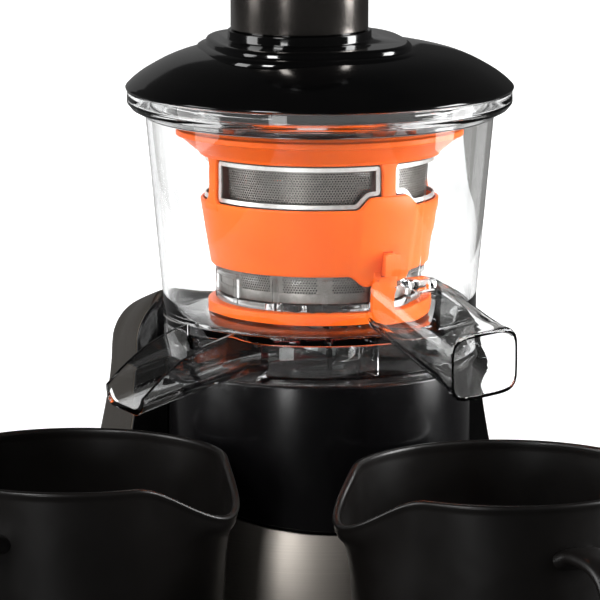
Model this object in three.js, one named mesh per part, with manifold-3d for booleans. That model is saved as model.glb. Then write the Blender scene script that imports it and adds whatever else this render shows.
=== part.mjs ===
// Vertical slow juicer: single-auger kitchen juicer with a clear juicing bowl, an off-axis feed tube,
// a geared motor base and two collecting jugs. Millimetres, +Z up, front of the machine towards -Y.
import * as THREE from "three";
import { mergeVertices } from "three/addons/utils/BufferGeometryUtils.js";
import Module from "manifold-3d";

const wasm = await Module();
wasm.setup();

// ---- driving dimensions (mm) -------------------------------------------------
const GAP = 0.3; // air gap between touching pieces
const SEG = 24; // facets on the large round pieces

// heights above the table
const Z_PLATE = 4; // underside of the base plate
const Z_SEAT_FLOOR = 141;
const Z_SEAT_RIM = 148.6;
const Z_FLOOR = 168; // bowl floor, wet side
const Z_BOWL_TOP = 258;
const Z_LID = 262; // edge plane of the lid
const Z_DECK = 282.3; // raised deck round the feed tube
const Z_TUBE_TOP = 360;

// radii about the drum axis
const R_SEAT = 62.5;
const R_STEEL = 61;
const R_BOWL_BOTTOM = 65;
const R_BOWL_TOP = 71.4;
const R_LID = 80;
const R_TUBE = 28.3;
const TUBE_X = -8.5; // the feed tube stands off the drum axis
const SKEW = 0.26; // slope of the line between black seat shell and steel skirt

// layout directions, degrees clockwise from the machine's front seen from above (positive towards +X)
const JUICE_ROOT_DEG = 21,
  JUICE_DIR_DEG = 35,
  PULP_ROOT_DEG = -51,
  PULP_DIR_DEG = -75;
const JUICE_JUG = [49.4, -116.8],
  PULP_JUG = [-113.1, -58.7];
const JUG_R = 62,
  JUG_R_FOOT = 57.5,
  JUG_H = 123,
  JUG_WALL = 2.2;

// gears
const SUN_T = 15,
  IDLER_T = 12,
  RING_T = 39,
  M_WIPER = 2;
const PINION1_T = 10,
  WHEEL1_T = 38,
  M1 = 1.5;
const PINION2_T = 10,
  WHEEL2_T = 38,
  M2 = 1.5;
const GEAR_CENTRES = (M1 * (PINION1_T + WHEEL1_T)) / 2; // 36
const IDLER_CENTRE = (M_WIPER * (SUN_T + IDLER_T)) / 2; // 27
const IDLER_ANGLE = (140 * Math.PI) / 180;

// ---- helpers -----------------------------------------------------------------
const rad = (d) => (d * Math.PI) / 180;
// unit vector for a direction given in degrees clockwise from the front (-Y)
const dirOf = (deg) => new THREE.Vector2(Math.sin(rad(deg)), -Math.cos(rad(deg)));

function toSolid(geometry) {
  const g = geometry.index ? geometry.toNonIndexed() : geometry.clone();
  const bare = new THREE.BufferGeometry().setAttribute(
    "position",
    g.getAttribute("position"),
  );
  const merged = mergeVertices(bare, 1e-4);
  const idx = merged.index.array;
  const tri = [];
  for (let i = 0; i < idx.length; i += 3) {
    const [a, b, c] = [idx[i], idx[i + 1], idx[i + 2]];
    if (a !== b && b !== c && a !== c) tri.push(a, b, c);
  }
  const make = (t) =>
    new wasm.Manifold(
      new wasm.Mesh({
        numProp: 3,
        vertProperties: new Float32Array(merged.attributes.position.array),
        triVerts: new Uint32Array(t),
      }),
    );
  let m = make(tri);
  if (m.volume() < 0) {
    for (let i = 0; i < tri.length; i += 3)
      [tri[i + 1], tri[i + 2]] = [tri[i + 2], tri[i + 1]];
    m = make(tri);
  }
  return m;
}

function toGeometry(m) {
  const mesh = m.getMesh(),
    n = mesh.numProp;
  const v = new Float32Array(mesh.numVert * 3);
  for (let i = 0; i < mesh.numVert; i++)
    v.set(mesh.vertProperties.subarray(i * n, i * n + 3), i * 3);
  const g = new THREE.BufferGeometry()
    .setAttribute("position", new THREE.BufferAttribute(v, 3))
    .setIndex(new THREE.BufferAttribute(new Uint32Array(mesh.triVerts), 1));
  g.computeVertexNormals();
  return g;
}

// solid of revolution about Z from a closed (r, z) profile
function lathe(profile, seg = SEG) {
  const pts = profile.map(([r, z]) => new THREE.Vector2(r, z));
  if (!(profile[0][0] === 0 && profile[profile.length - 1][0] === 0))
    pts.push(pts[0].clone());
  const g = new THREE.LatheGeometry(pts, seg);
  g.rotateX(Math.PI / 2);
  return toSolid(g);
}
const ring = (ri, ro, z0, z1, seg = SEG) =>
  lathe(
    [
      [ri, z0],
      [ro, z0],
      [ro, z1],
      [ri, z1],
    ],
    seg,
  );
const disc = (r, z0, z1, seg = SEG, x = 0, y = 0) =>
  lathe(
    [
      [0, z0],
      [r, z0],
      [r, z1],
      [0, z1],
    ],
    seg,
  ).translate([x, y, 0]);
const cone = (r0, r1, z0, z1, seg = SEG) =>
  lathe(
    [
      [0, z0],
      [r0, z0],
      [r1, z1],
      [0, z1],
    ],
    seg,
  );
function box(w, d, h, x, y, z) {
  const g = new THREE.BoxGeometry(w, d, h);
  g.translate(x, y, z);
  return toSolid(g);
}
function prism(points, z0, z1) {
  const s = new THREE.Shape(points.map(([x, y]) => new THREE.Vector2(x, y)));
  const g = new THREE.ExtrudeGeometry(s, { depth: z1 - z0, bevelEnabled: false });
  g.translate(0, 0, z0);
  return toSolid(g);
}
// prism of a (y, z) outline along X
function prismX(points, x0, x1) {
  const m = prism(points, x0, x1); // local: x->y, y->z, z->x
  return m.transform([0, 1, 0, 0, 0, 0, 1, 0, 1, 0, 0, 0, 0, 0, 0, 1]);
}
// prism of an (x, z) outline along Y
function prismY(points, y0, y1) {
  const m = prism(points, -y1, -y0); // local: x->x, y->z, z->-y
  return m.transform([1, 0, 0, 0, 0, 0, 1, 0, 0, -1, 0, 0, 0, 0, 0, 1]);
}
const rotZ = (m, a) => m.rotate([0, 0, (a * 180) / Math.PI]);
// closed solid through a stack of equal-length rings of [x, y, z]
function loft(rings) {
  const n = rings[0].length,
    pos = [],
    push = (...p) => p.forEach((q) => pos.push(...q));
  for (let k = 0; k + 1 < rings.length; k++)
    for (let i = 0; i < n; i++) {
      const j = (i + 1) % n;
      push(rings[k][i], rings[k][j], rings[k + 1][j]);
      push(rings[k][i], rings[k + 1][j], rings[k + 1][i]);
    }
  for (const [r, flip] of [
    [rings[0], true],
    [rings[rings.length - 1], false],
  ]) {
    const c = [0, 1, 2].map((a) => r.reduce((s, p) => s + p[a], 0) / n);
    for (let i = 0; i < n; i++) {
      const j = (i + 1) % n;
      if (flip) push(c, r[j], r[i]);
      else push(c, r[i], r[j]);
    }
  }
  const g = new THREE.BufferGeometry().setAttribute(
    "position",
    new THREE.BufferAttribute(new Float32Array(pos), 3),
  );
  return toSolid(g);
}
// rounded rectangle / superellipse outline
function superEllipse(a, b, n, count, cx = 0, cy = 0) {
  const pts = [];
  for (let i = 0; i < count; i++) {
    const t = (i / count) * 2 * Math.PI,
      c = Math.cos(t),
      s = Math.sin(t);
    pts.push([
      cx + a * Math.sign(c) * Math.abs(c) ** (2 / n),
      cy + b * Math.sign(s) * Math.abs(s) ** (2 / n),
    ]);
  }
  return pts;
}

// involute gear outline; a tooth is centred on angle 0
function gearOutline(teeth, m, { internal = false, backlash = 0.34, add = 0.75, ded = 1.1 } = {}) {
  const rp = (m * teeth) / 2,
    pa = rad(20),
    rb = rp * Math.cos(pa);
  const rTip = internal ? rp - add * m : rp + add * m,
    rRoot = internal ? rp + ded * m : rp - ded * m;
  const inv = (a) => Math.tan(a) - a;
  const half0 = Math.PI / (2 * teeth) + (internal ? 1 : -1) * 0; // half tooth angle at the pitch circle
  const slack = backlash / 2 / rp;
  const halfAt = (r) => {
    const rr = Math.max(r, rb);
    const a = Math.acos(rb / rr);
    const ext = half0 - slack - inv(a) + inv(pa); // external half angle of the tooth at r
    if (!internal) return Math.max(ext, 0.12 / rr);
    const space = half0 + slack + inv(pa) - inv(a); // half angle of the space of an internal gear
    return Math.PI / teeth - space;
  };
  const radii = internal ? [rRoot, rTip] : [Math.max(rRoot, rb * 0.985), rTip];
  const pts = [];
  for (let k = 0; k < teeth; k++) {
    const c = (k * 2 * Math.PI) / teeth;
    if (!internal) {
      pts.push([rRoot, c - halfAt(radii[0])], [rTip, c - halfAt(rTip)]);
      pts.push([rTip, c + halfAt(rTip)], [rRoot, c + halfAt(radii[0])]);
    } else {
      for (const r of radii) pts.push([r, c - halfAt(r)]);
      for (const r of [...radii].reverse()) pts.push([r, c + halfAt(r)]);
    }
  }
  return pts.map(([r, a]) => [r * Math.cos(a), r * Math.sin(a)]);
}
const gear = (teeth, m, z0, z1, opt) => prism(gearOutline(teeth, m, opt), z0, z1);

// hexagonal prism, across flats af
const hex = (af, z0, z1) =>
  prism(
    [0, 1, 2, 3, 4, 5].map((i) => [
      (af / Math.sqrt(3)) * Math.cos((i * Math.PI) / 3),
      (af / Math.sqrt(3)) * Math.sin((i * Math.PI) / 3),
    ]),
    z0,
    z1,
  );

// ---- materials ---------------------------------------------------------------
const mat = (color, roughness, metalness, opacity = 1) =>
  new THREE.MeshStandardMaterial({ color, roughness, metalness, opacity, transparent: opacity < 1 });
const M = {
  glossBlack: mat(0x0a0a0b, 0.12, 0.0),
  satinBlack: mat(0x141416, 0.38, 0.0),
  graphite: mat(0x3b3835, 0.35, 0.6),
  gunmetal: mat(0x5a5550, 0.28, 0.85),
  steel: mat(0xa09a90, 0.35, 1.0),
  clear: mat(0xf2f6f8, 0.04, 0.0, 0.3),
  orange: mat(0xff6a1c, 0.3, 0.0),
  red: mat(0xa8201a, 0.5, 0.0),
  rubber: mat(0x1b1b1b, 0.8, 0.0),
  white: mat(0xe8e6e0, 0.45, 0.0),
  brass: mat(0xb08d4a, 0.4, 1.0),
  board: mat(0x1e6a3a, 0.6, 0.0),
  dark: mat(0x2a2a2d, 0.45, 0.0),
};

// ---- the body outline --------------------------------------------------------
// half width of the rear body at height z, and its rear face
const smooth = (t) => {
  const u = Math.min(1, Math.max(0, t));
  return u * u * (3 - 2 * u);
};
const halfWidth = (z) => 73.5 + 9.5 * smooth((142 - z) / 75);
const rearY = (z) => 106 + 5 * smooth((150 - z) / 90);
const Y_FRONT = 18;
function bodyRing(z, t) {
  // open U outline, closed across the front at Y_FRONT; t = inset
  const W = halfWidth(z) - t,
    R = rearY(z) - t,
    cr = 26 - t * 0.6; // rear corner radius
  const pts = [[-W, Y_FRONT - 0.0]];
  const n = 4;
  pts.push([-W - 0.2, 45]);
  for (let i = 0; i <= n; i++) {
    const a = Math.PI - (i / n) * (Math.PI / 2);
    pts.push([-W + cr + cr * Math.cos(a), R - cr + cr * Math.sin(a)]);
  }
  pts.push([0, R + 2]);
  for (let i = 0; i <= n; i++) {
    const a = Math.PI / 2 - (i / n) * (Math.PI / 2);
    pts.push([W - cr + cr * Math.cos(a), R - cr + cr * Math.sin(a)]);
  }
  pts.push([W + 0.2, 45]);
  pts.push([W, Y_FRONT]);
  return pts.map(([x, y]) => [x, y, z]);
}
const LEVELS = [5, 68, 90, 112, 142, 182];
const bodyLoft = (t, z0 = 5) =>
  loft(LEVELS.map((z, i) => bodyRing(i === 0 ? z0 : z, t)));
// side profile of the roof and arch profile of the front, inset by t
function roofCut(t) {
  const side = [
    [Y_FRONT - 1, 0],
    [125, 0],
    [125, 132 - t],
    [112, 143 - t],
    [98, 150.5 - t],
    [70, 163 - t],
    [45, 171.5 - t],
    [30, 175.5 - t],
    [Y_FRONT - 1, 177.5 - t],
  ];
  const arch = [
    [-95, 0],
    [95, 0],
    [95, 140 - t],
    [74 - t, 152 - t],
    [73 - t, 160 - t],
    [70 - t, 168.5 - t],
    [63 - t, 175 - t],
    [52 - t, 178.5 - t],
    [-52 + t, 178.5 - t],
    [-63 + t, 175 - t],
    [-70 + t, 168.5 - t],
    [-73 + t, 160 - t],
    [-74 + t, 152 - t],
    [-95, 140 - t],
  ];
  return prismX(side, -100, 100).intersect(prismY(arch, 0, 130));
}

const pieces = []; // [name, manifold, material]
const add = (name, solid, material) => pieces.push([name, solid, material]);

// ---- base: shells ------------------------------------------------------------
const wall = 2.6;
let outer = bodyLoft(0).intersect(roofCut(0));
let inner = bodyLoft(wall, -5).intersect(roofCut(wall));
const drumClear = disc(R_SEAT + 0.9, 0, 149.5, SEG); // seat and skirt pass here
const bowlClear = disc(R_BOWL_BOTTOM + 2.4, 148.9, 190, SEG); // hollow behind the bowl

let rear = outer.subtract(inner);
rear = rear.subtract(disc(R_SEAT + 0.9, 0, 150, SEG)).subtract(disc(70.4, 148, 190, SEG));
rear = rear.subtract(box(170, 6, 200, 0, Y_FRONT + 0.4, 90)); // front edge at Y_FRONT + 3.4
// louvres in the back, cord inlet, switch window
for (let i = 0; i < 5; i++)
  rear = rear.subtract(box(46, 14, 3, 0, 110, 44 + i * 9));
rear = rear.subtract(
  disc(7.6, 100, 125, 20).rotate([-90, 0, 0]).translate([0, 0, 22]),
);
const SW = { y: 62, z: 58 };
rear = rear.subtract(box(16, 22.6, 32.6, 82, SW.y, SW.z));
// screw bosses at the back
for (const s of [-1, 1]) {
  const boss = disc(4.2, 7.6, 26, 12, s * 70, 84).add(
    box(10, 5, 18.4, s * 75.5, 84, 16.8),
  );
  rear = rear.add(boss.subtract(disc(1.7, 0, 22, 10, s * 70, 84)).subtract(
    box(20, 20, 60, s * 90.2, 84, 16)));
}
add("rear_housing", rear, M.graphite);

// black liner: front strips of the column, hollow behind the bowl, ledge on top of the seat
const inset = bodyLoft(wall + GAP, 5).intersect(roofCut(wall + GAP));
const shellBand = (r0, r1, z0, z1) => ring(r0, r1, z0, z1, SEG);
let liner = bodyLoft(0.0)
  .intersect(roofCut(0))
  .intersect(box(200, 2.6, 200, 0, Y_FRONT + 1.3 + 0.2, 100)); // flat front strips
liner = liner.subtract(disc(R_SEAT + 0.9, 0, 149.6, SEG)).subtract(bowlClear).subtract(box(300, 300, 14.6, 0, 0, 0));
const hollow = shellBand(67.5, 70.0, 147, 190)
  .intersect(roofCut(0))
  .intersect(box(200, 100, 200, 0, Y_FRONT + 0.2 + 50, 100));
const ledge = shellBand(R_SEAT + 0.9, 70.0, 146.6, 149.0)
  .intersect(box(200, 100, 200, 0, Y_FRONT + 0.2 + 50, 100));
liner = liner.add(hollow).add(ledge);
add("column_liner", liner, M.glossBlack);

// seat housing: black drum the bowl stands on
function skewCut(z, r) {
  // half space below the sloping line z + SKEW * (y + r)
  return prismX(
    [
      [-90, -40],
      [90, -40],
      [90, z + SKEW * (90 + r)],
      [-90, z + SKEW * (-90 + r)],
    ],
    -90,
    90,
  );
}
let seat = lathe([
  [57.6, 80],
  [59.1, 80],
  [59.1, 80.01],
  [R_SEAT, 80.01],
  [R_SEAT, 147.4],
  [61.8, Z_SEAT_RIM],
  [60.6, Z_SEAT_RIM],
  [60.6, Z_SEAT_FLOOR],
  [15.8, Z_SEAT_FLOOR],
  [15.8, 146.5],
  [10.6, 146.5],
  [10.6, 138],
  [57.6, 138],
]).subtract(skewCut(88.3, R_SEAT));
const lip = ring(57.6, 59.1, 60, 139).subtract(skewCut(79.5, R_SEAT)).subtract(
  box(200, 60, 100, 0, 48, 100));
seat = seat.add(lip);
add("seat_housing", seat, M.satinBlack);

// brushed steel skirt round the front
let skirt = ring(59.6, R_STEEL, 5, 125).intersect(skewCut(86.4, R_SEAT));
skirt = skirt.subtract(box(200, 100, 300, 0, 17.4 + 50, 60));
add("steel_skirt", skirt, M.steel);

// base plate, feet, screws
const plateFront = disc(59.2, Z_PLATE, 7, SEG);
const plateRear = bodyLoft(wall + GAP, 5)
  .intersect(box(200, 200, 2, 0, 100 + Y_FRONT, 6))
  .add(prism(bodyRing(5, wall + GAP).map(([x, y]) => [x * 0.985, y]), Z_PLATE, 5.4));
let plate = plateFront.add(plateRear);
for (let i = 0; i < 4; i++) plate = plate.subtract(box(4, 34, 10, -18 + i * 12, 66, 6));
const FEET = {
  foot_front_left: [-37, -34],
  foot_front_right: [37, -34],
  foot_rear_left: [-58, 88],
  foot_rear_right: [58, 88],
};
const SCREWS = {
  base_screw_front_left: [-44, 8],
  base_screw_front_right: [44, 8],
  base_screw_rear_left: [-70, 84],
  base_screw_rear_right: [70, 84],
};
for (const [x, y] of Object.values(SCREWS))
  plate = plate.subtract(disc(1.9, 0, 12, 10, x, y)).subtract(disc(3.9, 0, 5.6, 12, x, y));
add("base_plate", plate, M.satinBlack);
for (const [name, [x, y]] of Object.entries(FEET))
  add(
    name,
    lathe(
      [
        [0, 0],
        [9, 0],
        [9, Z_PLATE - GAP],
        [0, Z_PLATE - GAP],
      ],
      12,
    ).translate([x, y, 0]),
    M.rubber,
  );
for (const [name, [x, y]] of Object.entries(SCREWS)) {
  const s = disc(3.4, 3.6, 5.3, 8).add(disc(1.4, 3.6, 19, 6)).subtract(box(5, 0.9, 1, 0, 0, 3.8));
  add(name, s.translate([x, y, 0]), M.steel);
}

// cord inlet bush, switch
add(
  "cord_inlet_bush",
  lathe(
    [
      [3.8, 102],
      [7.2, 102],
      [7.2, 113.3],
      [9, 113.4],
      [9, 115],
      [3.8, 115],
    ],
    20,
  )
    .rotate([-90, 0, 0])
    .translate([0, 0, 22]),
  M.rubber,
);
const swX = halfWidth(SW.z); // outer skin at the switch
let bezel = box(5, 22, 32, swX - 0.9, SW.y, SW.z)
  .add(box(1.6, 27, 37, swX + 1.7, SW.y, SW.z))
  .subtract(box(16, 15.4, 24.4, swX, SW.y, SW.z));
add("switch_bezel", bezel, M.satinBlack);
const SWITCH_AXIS = [swX - 2.2, SW.y, SW.z];
let rocker = prismY(
  [
    [-3.4, -8.2],
    [3.2, -11],
    [4.6, -11],
    [3.4, 0],
    [4.6, 11],
    [3.2, 11],
    [-3.4, 8.2],
  ],
  -7.2,
  7.2,
).translate(SWITCH_AXIS);
add("switch_rocker", rocker, M.glossBlack);

// ---- base: drive -------------------------------------------------------------
// motor can with end caps, stator inside as one wound and moulded piece
add(
  "motor_can",
  lathe(
    [
      [5.4, 15],
      [34, 15],
      [34, 71.5],
      [5.4, 71.5],
      [5.4, 68],
      [22.5, 68],
      [22.5, 19],
      [5.4, 19],
    ],
    24,
  ),
  M.steel,
);
add("motor_rotor", disc(21.6, 22, 65, 24).add(disc(4, 10, 90.4, 16)), M.steel);
let fan = disc(7, 9.9, 13.9, 14);
for (let i = 0; i < 7; i++)
  fan = fan.add(rotZ(box(19, 1.4, 3.6, 15.5, 0, 12), (i * 2 * Math.PI) / 7));
fan = fan.subtract(disc(4 + GAP, 0, 20, 16));
add("motor_fan", fan, M.white);
add("motor_pinion", gear(PINION1_T, M1, 80, 89).subtract(disc(4.15, 70, 95, 16)), M.brass);

// gearbox tray with legs, cover with bearing tower
const stadium = (r0, r1, z0, z1) => {
  const pts = [];
  for (let i = 0; i <= 14; i++) {
    const a = Math.PI + (i / 14) * Math.PI;
    pts.push([r0 * Math.cos(a), r0 * Math.sin(a)]);
  }
  for (let i = 0; i <= 14; i++) {
    const a = (i / 14) * Math.PI;
    pts.push([r1 * Math.cos(a), GEAR_CENTRES + r1 * Math.sin(a)]);
  }
  return prism(pts, z0, z1);
};
let tray = stadium(38, 38, 74, 106).subtract(stadium(35.4, 35.4, 76.6, 120));
tray = tray.add(disc(6, 74, 79.4, 16, 0, GEAR_CENTRES));
tray = tray.subtract(disc(5.4, 60, 90, 16)).subtract(disc(3.3, 60, 90, 14, 0, GEAR_CENTRES));
for (const [x, y] of [
  [-44, 8],
  [44, 8],
  [0, -42],
]) {
  const toward = new THREE.Vector2(x, y).normalize();
  tray = tray.add(disc(4.6, 7.4, 78, 12, x, y));
  tray = tray.add(
    rotZ(box(10, 6, 4, 40, 0, 76), Math.atan2(toward.y, toward.x)),
  );
  if (y > 0) tray = tray.subtract(disc(1.7, 0, 24, 8, x, y));
}
tray = tray.subtract(disc(35.2, 76.7, 77.95, 24)); // legs stay out of the tray's well
add("gearbox_tray", tray, M.dark);
let cover = stadium(38, 38, 106.3, 109)
  .add(disc(13, 106.3, 134, 24))
  .subtract(disc(10.2, 109.5, 140, 24))
  .subtract(disc(7, 100, 140, 20))
  .subtract(disc(3.3, 100, 112, 14, 0, GEAR_CENTRES));
add("gearbox_cover", cover, M.dark);
add("output_bush", ring(6.3, 9.9, 109.8, 130, 20), M.brass);
add(
  "counter_wheel",
  gear(WHEEL1_T, M1, 80.4, 88.6)
    .subtract(disc(4.3, 70, 120, 14)),
  M.white,
);
add(
  "counter_pinion",
  gear(PINION2_T, M2, 89, 104.4).subtract(disc(3.15, 70, 120, 14)),
  M.steel,
);
add("counter_shaft", disc(3, 76.8, 108.6, 14).add(disc(4, 80.6, 88.4, 14)), M.steel);
add(
  "output_wheel",
  gear(WHEEL2_T, M2, 93, 103)
    .subtract(disc(7.3, 70, 120, 18)),
  M.white,
);
add(
  "drive_shaft",
  disc(6, 91.6, 149, 18)
    .add(disc(7, 93.4, 102.6, 18))
    .add(hex(11.4, 148.9, 194))
    .subtract(
      lathe([
        [9, 194.1],
        [5.0, 194.1],
        [6.7, 191.5],
        [9, 191.5],
      ], 12),
    ),
  M.steel,
);
add("shaft_seal", ring(6.3, 10.3, 139.5, 148, 16), M.rubber);
add("control_board", box(62, 1.6, 66, -6, 98, 70), M.board);
add("run_capacitor", disc(13, 10, 62, 20, -52, 70), M.white);

// ---- bowl --------------------------------------------------------------------
const rBowl = (z) => R_BOWL_BOTTOM + ((R_BOWL_TOP - R_BOWL_BOTTOM) * (z - 177)) / (250 - 177);
let bowl = lathe([
  [12.4, 165.4],
  [12.4, Z_FLOOR],
  [62.4, Z_FLOOR],
  [62.8, 177],
  [69.1, Z_BOWL_TOP],
  [R_BOWL_TOP, Z_BOWL_TOP],
  [R_BOWL_TOP, 254.6],
  [76.9, 256.8],
  [76.9, 261.6],
  [79.3, 261.6],
  [79.3, 255.2],
  [71.6, 251.2],
  [65, 177],
  [64.6, 149.4],
  [60.0, 149.4],
  [60.0, 141.6],
  [58.0, 141.6],
  [58.0, 151],
  [62.2, 152.5],
  [62.2, 165.4],
]);
// vertical webs under the floor
for (const d of [-8, 60, 150, 235])
  bowl = bowl.add(
    rotZ(box(42, 2, 14, 39, 0, 158.5), Math.atan2(dirOf(d).y, dirOf(d).x)),
  );
bowl = bowl.add(ring(17, 19, 151.5, 166, 28));
// openings: juice outlet in the wall, pulp outlet in the floor and skirt
const jd = dirOf(JUICE_DIR_DEG),
  pd = dirOf(PULP_DIR_DEG),
  jr = dirOf(JUICE_ROOT_DEG),
  pr = dirOf(PULP_ROOT_DEG);
const SP_W = 34,
  SP_H = 24,
  SP_T = 2; // spout section and wall
const jRoot = jr.clone().multiplyScalar(62.5);
const jEnd = jRoot.clone().addScaledVector(jd, 46);
function spoutRing(p, z, w, h, n = 5) {
  // rounded section in the vertical plane across the spout
  const across = new THREE.Vector2(-jd.y, jd.x);
  return superEllipse(w / 2, h / 2, n, 12).map(([u, v]) => [
    p.x + across.x * u,
    p.y + across.y * u,
    z + v,
  ]);
}
const along = (p, d, s) => p.clone().addScaledVector(d, s);
const SLOPE_J = 19 / 42;
const spoutZ = (s) => 181 - SLOPE_J * s; // centre height s mm past the root
const spoutOuter = loft(
  [-8, 0, 22, 40, 43].map((s) =>
    spoutRing(along(jRoot, jd, s), spoutZ(s), SP_W + (s > 42 ? 2.4 : s > 38 ? 1.6 : 0), SP_H + (s > 42 ? 2.4 : s > 38 ? 1.6 : 0)),
  ),
);
const spoutInner = loft(
  [-22, 0, 22, 40, 52].map((s) =>
    spoutRing(along(jRoot, jd, s), spoutZ(s), SP_W - 2 * SP_T + (s > 38 ? 1 : 0), SP_H - 2 * SP_T + (s > 38 ? 1 : 0)),
  ),
);
const bowlBody = cone(R_BOWL_BOTTOM + GAP, rBowl(250) + GAP, 177, 250).add(
  disc(R_BOWL_BOTTOM + GAP, 130, 177.1, SEG),
);
let spout = spoutOuter.subtract(spoutInner).subtract(bowlBody);
spout = spout.decompose().sort((a, b) => b.volume() - a.volume())[0];
add("juice_spout", spout, M.clear);
// outlet hole in the wall, kept above the floor
bowl = bowl.subtract(spoutInner.intersect(disc(90, Z_FLOOR + 0.01, 200, 12)));
// pulp outlet: hole in the floor inside the strainer, way out under the floor
const PULP_HOLE_R = 6.6;
const pulpHole = dirOf(-35).multiplyScalar(29);
bowl = bowl.subtract(disc(PULP_HOLE_R, 160, 172, 18, pulpHole.x, pulpHole.y));
const CH_W = 36,
  CH_T = 2;
const cRoot = pr.clone().multiplyScalar(61);
const chuteAcross = new THREE.Vector2(-pd.y, pd.x);
// chute: a U trough; s is the distance past the root along the chute
function chuteRing(s, zTop, zBot, w) {
  const p = along(cRoot, pd, s),
    r = 7,
    pts = [];
  const at = (u, z) => [p.x + chuteAcross.x * u, p.y + chuteAcross.y * u, z];
  pts.push(at(-w / 2, zTop));
  for (let i = 0; i <= 3; i++) {
    const a = Math.PI + (i / 3) * (Math.PI / 2);
    pts.push(at(-w / 2 + r + r * Math.cos(a), zBot + r + r * Math.sin(a)));
  }
  for (let i = 0; i <= 3; i++) {
    const a = 1.5 * Math.PI + (i / 3) * (Math.PI / 2);
    pts.push(at(w / 2 - r + r * Math.cos(a), zBot + r + r * Math.sin(a)));
  }
  pts.push(at(w / 2, zTop));
  return pts;
}
const CH = [
  // s, wall top, floor underside
  [-42, 164.9, 154],
  [-6, 164.9, 152.4],
  [4, 171, 150.2],
  [16, 167.5, 147.4],
  [28, 162, 144.6],
  [38, 154.5, 142],
  [45, 147.8, 140],
];
let chute = loft(CH.map(([s, t, b]) => chuteRing(s, t, b, CH_W)));
chute = chute.subtract(
  loft(CH.map(([s, t, b], i) => chuteRing(i === 0 ? s - 3 : i === CH.length - 1 ? s + 4 : s, t + 12, b + CH_T, CH_W - 2 * CH_T)),
  ),
);
const chuteGap = loft(CH.map(([s, t, b], i) => chuteRing(i === 0 ? s - 2 : s, t + (i < 2 ? 0.3 : 3), b - (i < 2 ? GAP : 4), CH_W + 2 * GAP)));
// the chute's run under the floor opens the skirt; outside, it stands against the skirt
bowl = bowl.subtract(chuteGap.intersect(disc(64.9 + 2, 148, 165.2, SEG)));
chute = chute.subtract(ring(R_BOWL_BOTTOM - 4, R_BOWL_BOTTOM + GAP, 165.2, 200)).subtract(disc(R_BOWL_BOTTOM + GAP, 164.95, 200, SEG));
chute = chute.subtract(disc(19.4, 140, 170, 28));
for (const d of [-8, 235])
  chute = chute.subtract(rotZ(box(44, 2.6, 20, 39, 0, 158.5), Math.atan2(dirOf(d).y, dirOf(d).x)));
chute = chute.decompose().sort((a, b) => b.volume() - a.volume())[0];
add("pulp_chute", chute, M.clear);
bowl = bowl.decompose().sort((a, b) => b.volume() - a.volume())[0];
add("juicing_bowl", bowl, M.clear);

// silicone pieces of the bowl
add(
  "floor_seal",
  lathe(
    [
      [9.0, 163.2],
      [12.1, 163.2],
      [12.1, Z_FLOOR + 0.3],
      [13.8, Z_FLOOR + 0.3],
      [13.8, 169.0],
      [9.0, 169.0],
    ],
    24,
  ).subtract(disc(13.9, 168.95, 172, 24)),
  M.red,
);
add(
  "pulp_outlet_seal",
  ring(PULP_HOLE_R, PULP_HOLE_R + 1.8, 162.8, 165.1, 18).translate([pulpHole.x, pulpHole.y, 0]),
  M.red,
);

// ---- strainer ----------------------------------------------------------------
const rMesh = (z) => 41.3 + (3.7 * (z - 176)) / 64; // outside of the mesh
const T_MESH = 0.6;
add(
  "strainer_mesh",
  lathe([
    [rMesh(179) - T_MESH, 179],
    [rMesh(179), 179],
    [rMesh(240), 240],
    [rMesh(240) - T_MESH, 240],
  ]),
  M.steel,
);
let frame = lathe([
  [17.6, 175.6],
  [42.6, 175.6],
  [43.0, 178.6],
  [17.6, 178.6],
]).add(ring(rMesh(189) + GAP, 43.1, 186.6, 189));
for (let i = 0; i < 6; i++)
  frame = frame.add(
    rotZ(box(1.2, 5.2, 12, 42.35, 0, 182.9), (i * Math.PI) / 3 + 0.13),
  );
frame = frame.subtract(
  lathe([
    [30, 178.7],
    [rMesh(178.7) + GAP, 178.7],
    [rMesh(195) + GAP, 195],
    [30, 195],
  ]),
);
// duct for the pulp down past the gears
frame = frame
  .add(disc(PULP_HOLE_R + 1, Z_FLOOR + GAP, 176, 18, pulpHole.x, pulpHole.y))
  .subtract(disc(PULP_HOLE_R, 160, 184, 18, pulpHole.x, pulpHole.y));
// three feet that stand on the bowl floor between sun gear and ring gear
for (const d of [10, 90, 175])
  frame = frame.add(disc(3, Z_FLOOR + GAP, 176, 12, 27 * dirOf(d).x, 27 * dirOf(d).y));
frame = frame.add(
  ring(rMesh(240.3) - 1.2, 46.4, 240.3, 244.5).add(ring(rMesh(238) + GAP, 46.4, 238, 241)),
);
frame = frame.decompose().sort((a, b) => b.volume() - a.volume());
add("strainer_frame", frame[0], M.clear);
if (frame.length > 1) add("strainer_top_ring", frame[1], M.clear);

// idler on its pin, between auger and wiper
const IX = IDLER_CENTRE * Math.cos(IDLER_ANGLE),
  IY = IDLER_CENTRE * Math.sin(IDLER_ANGLE);
add("idler_pin", disc(2.5, Z_FLOOR + GAP, 175, 12, IX, IY), M.steel);
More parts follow.
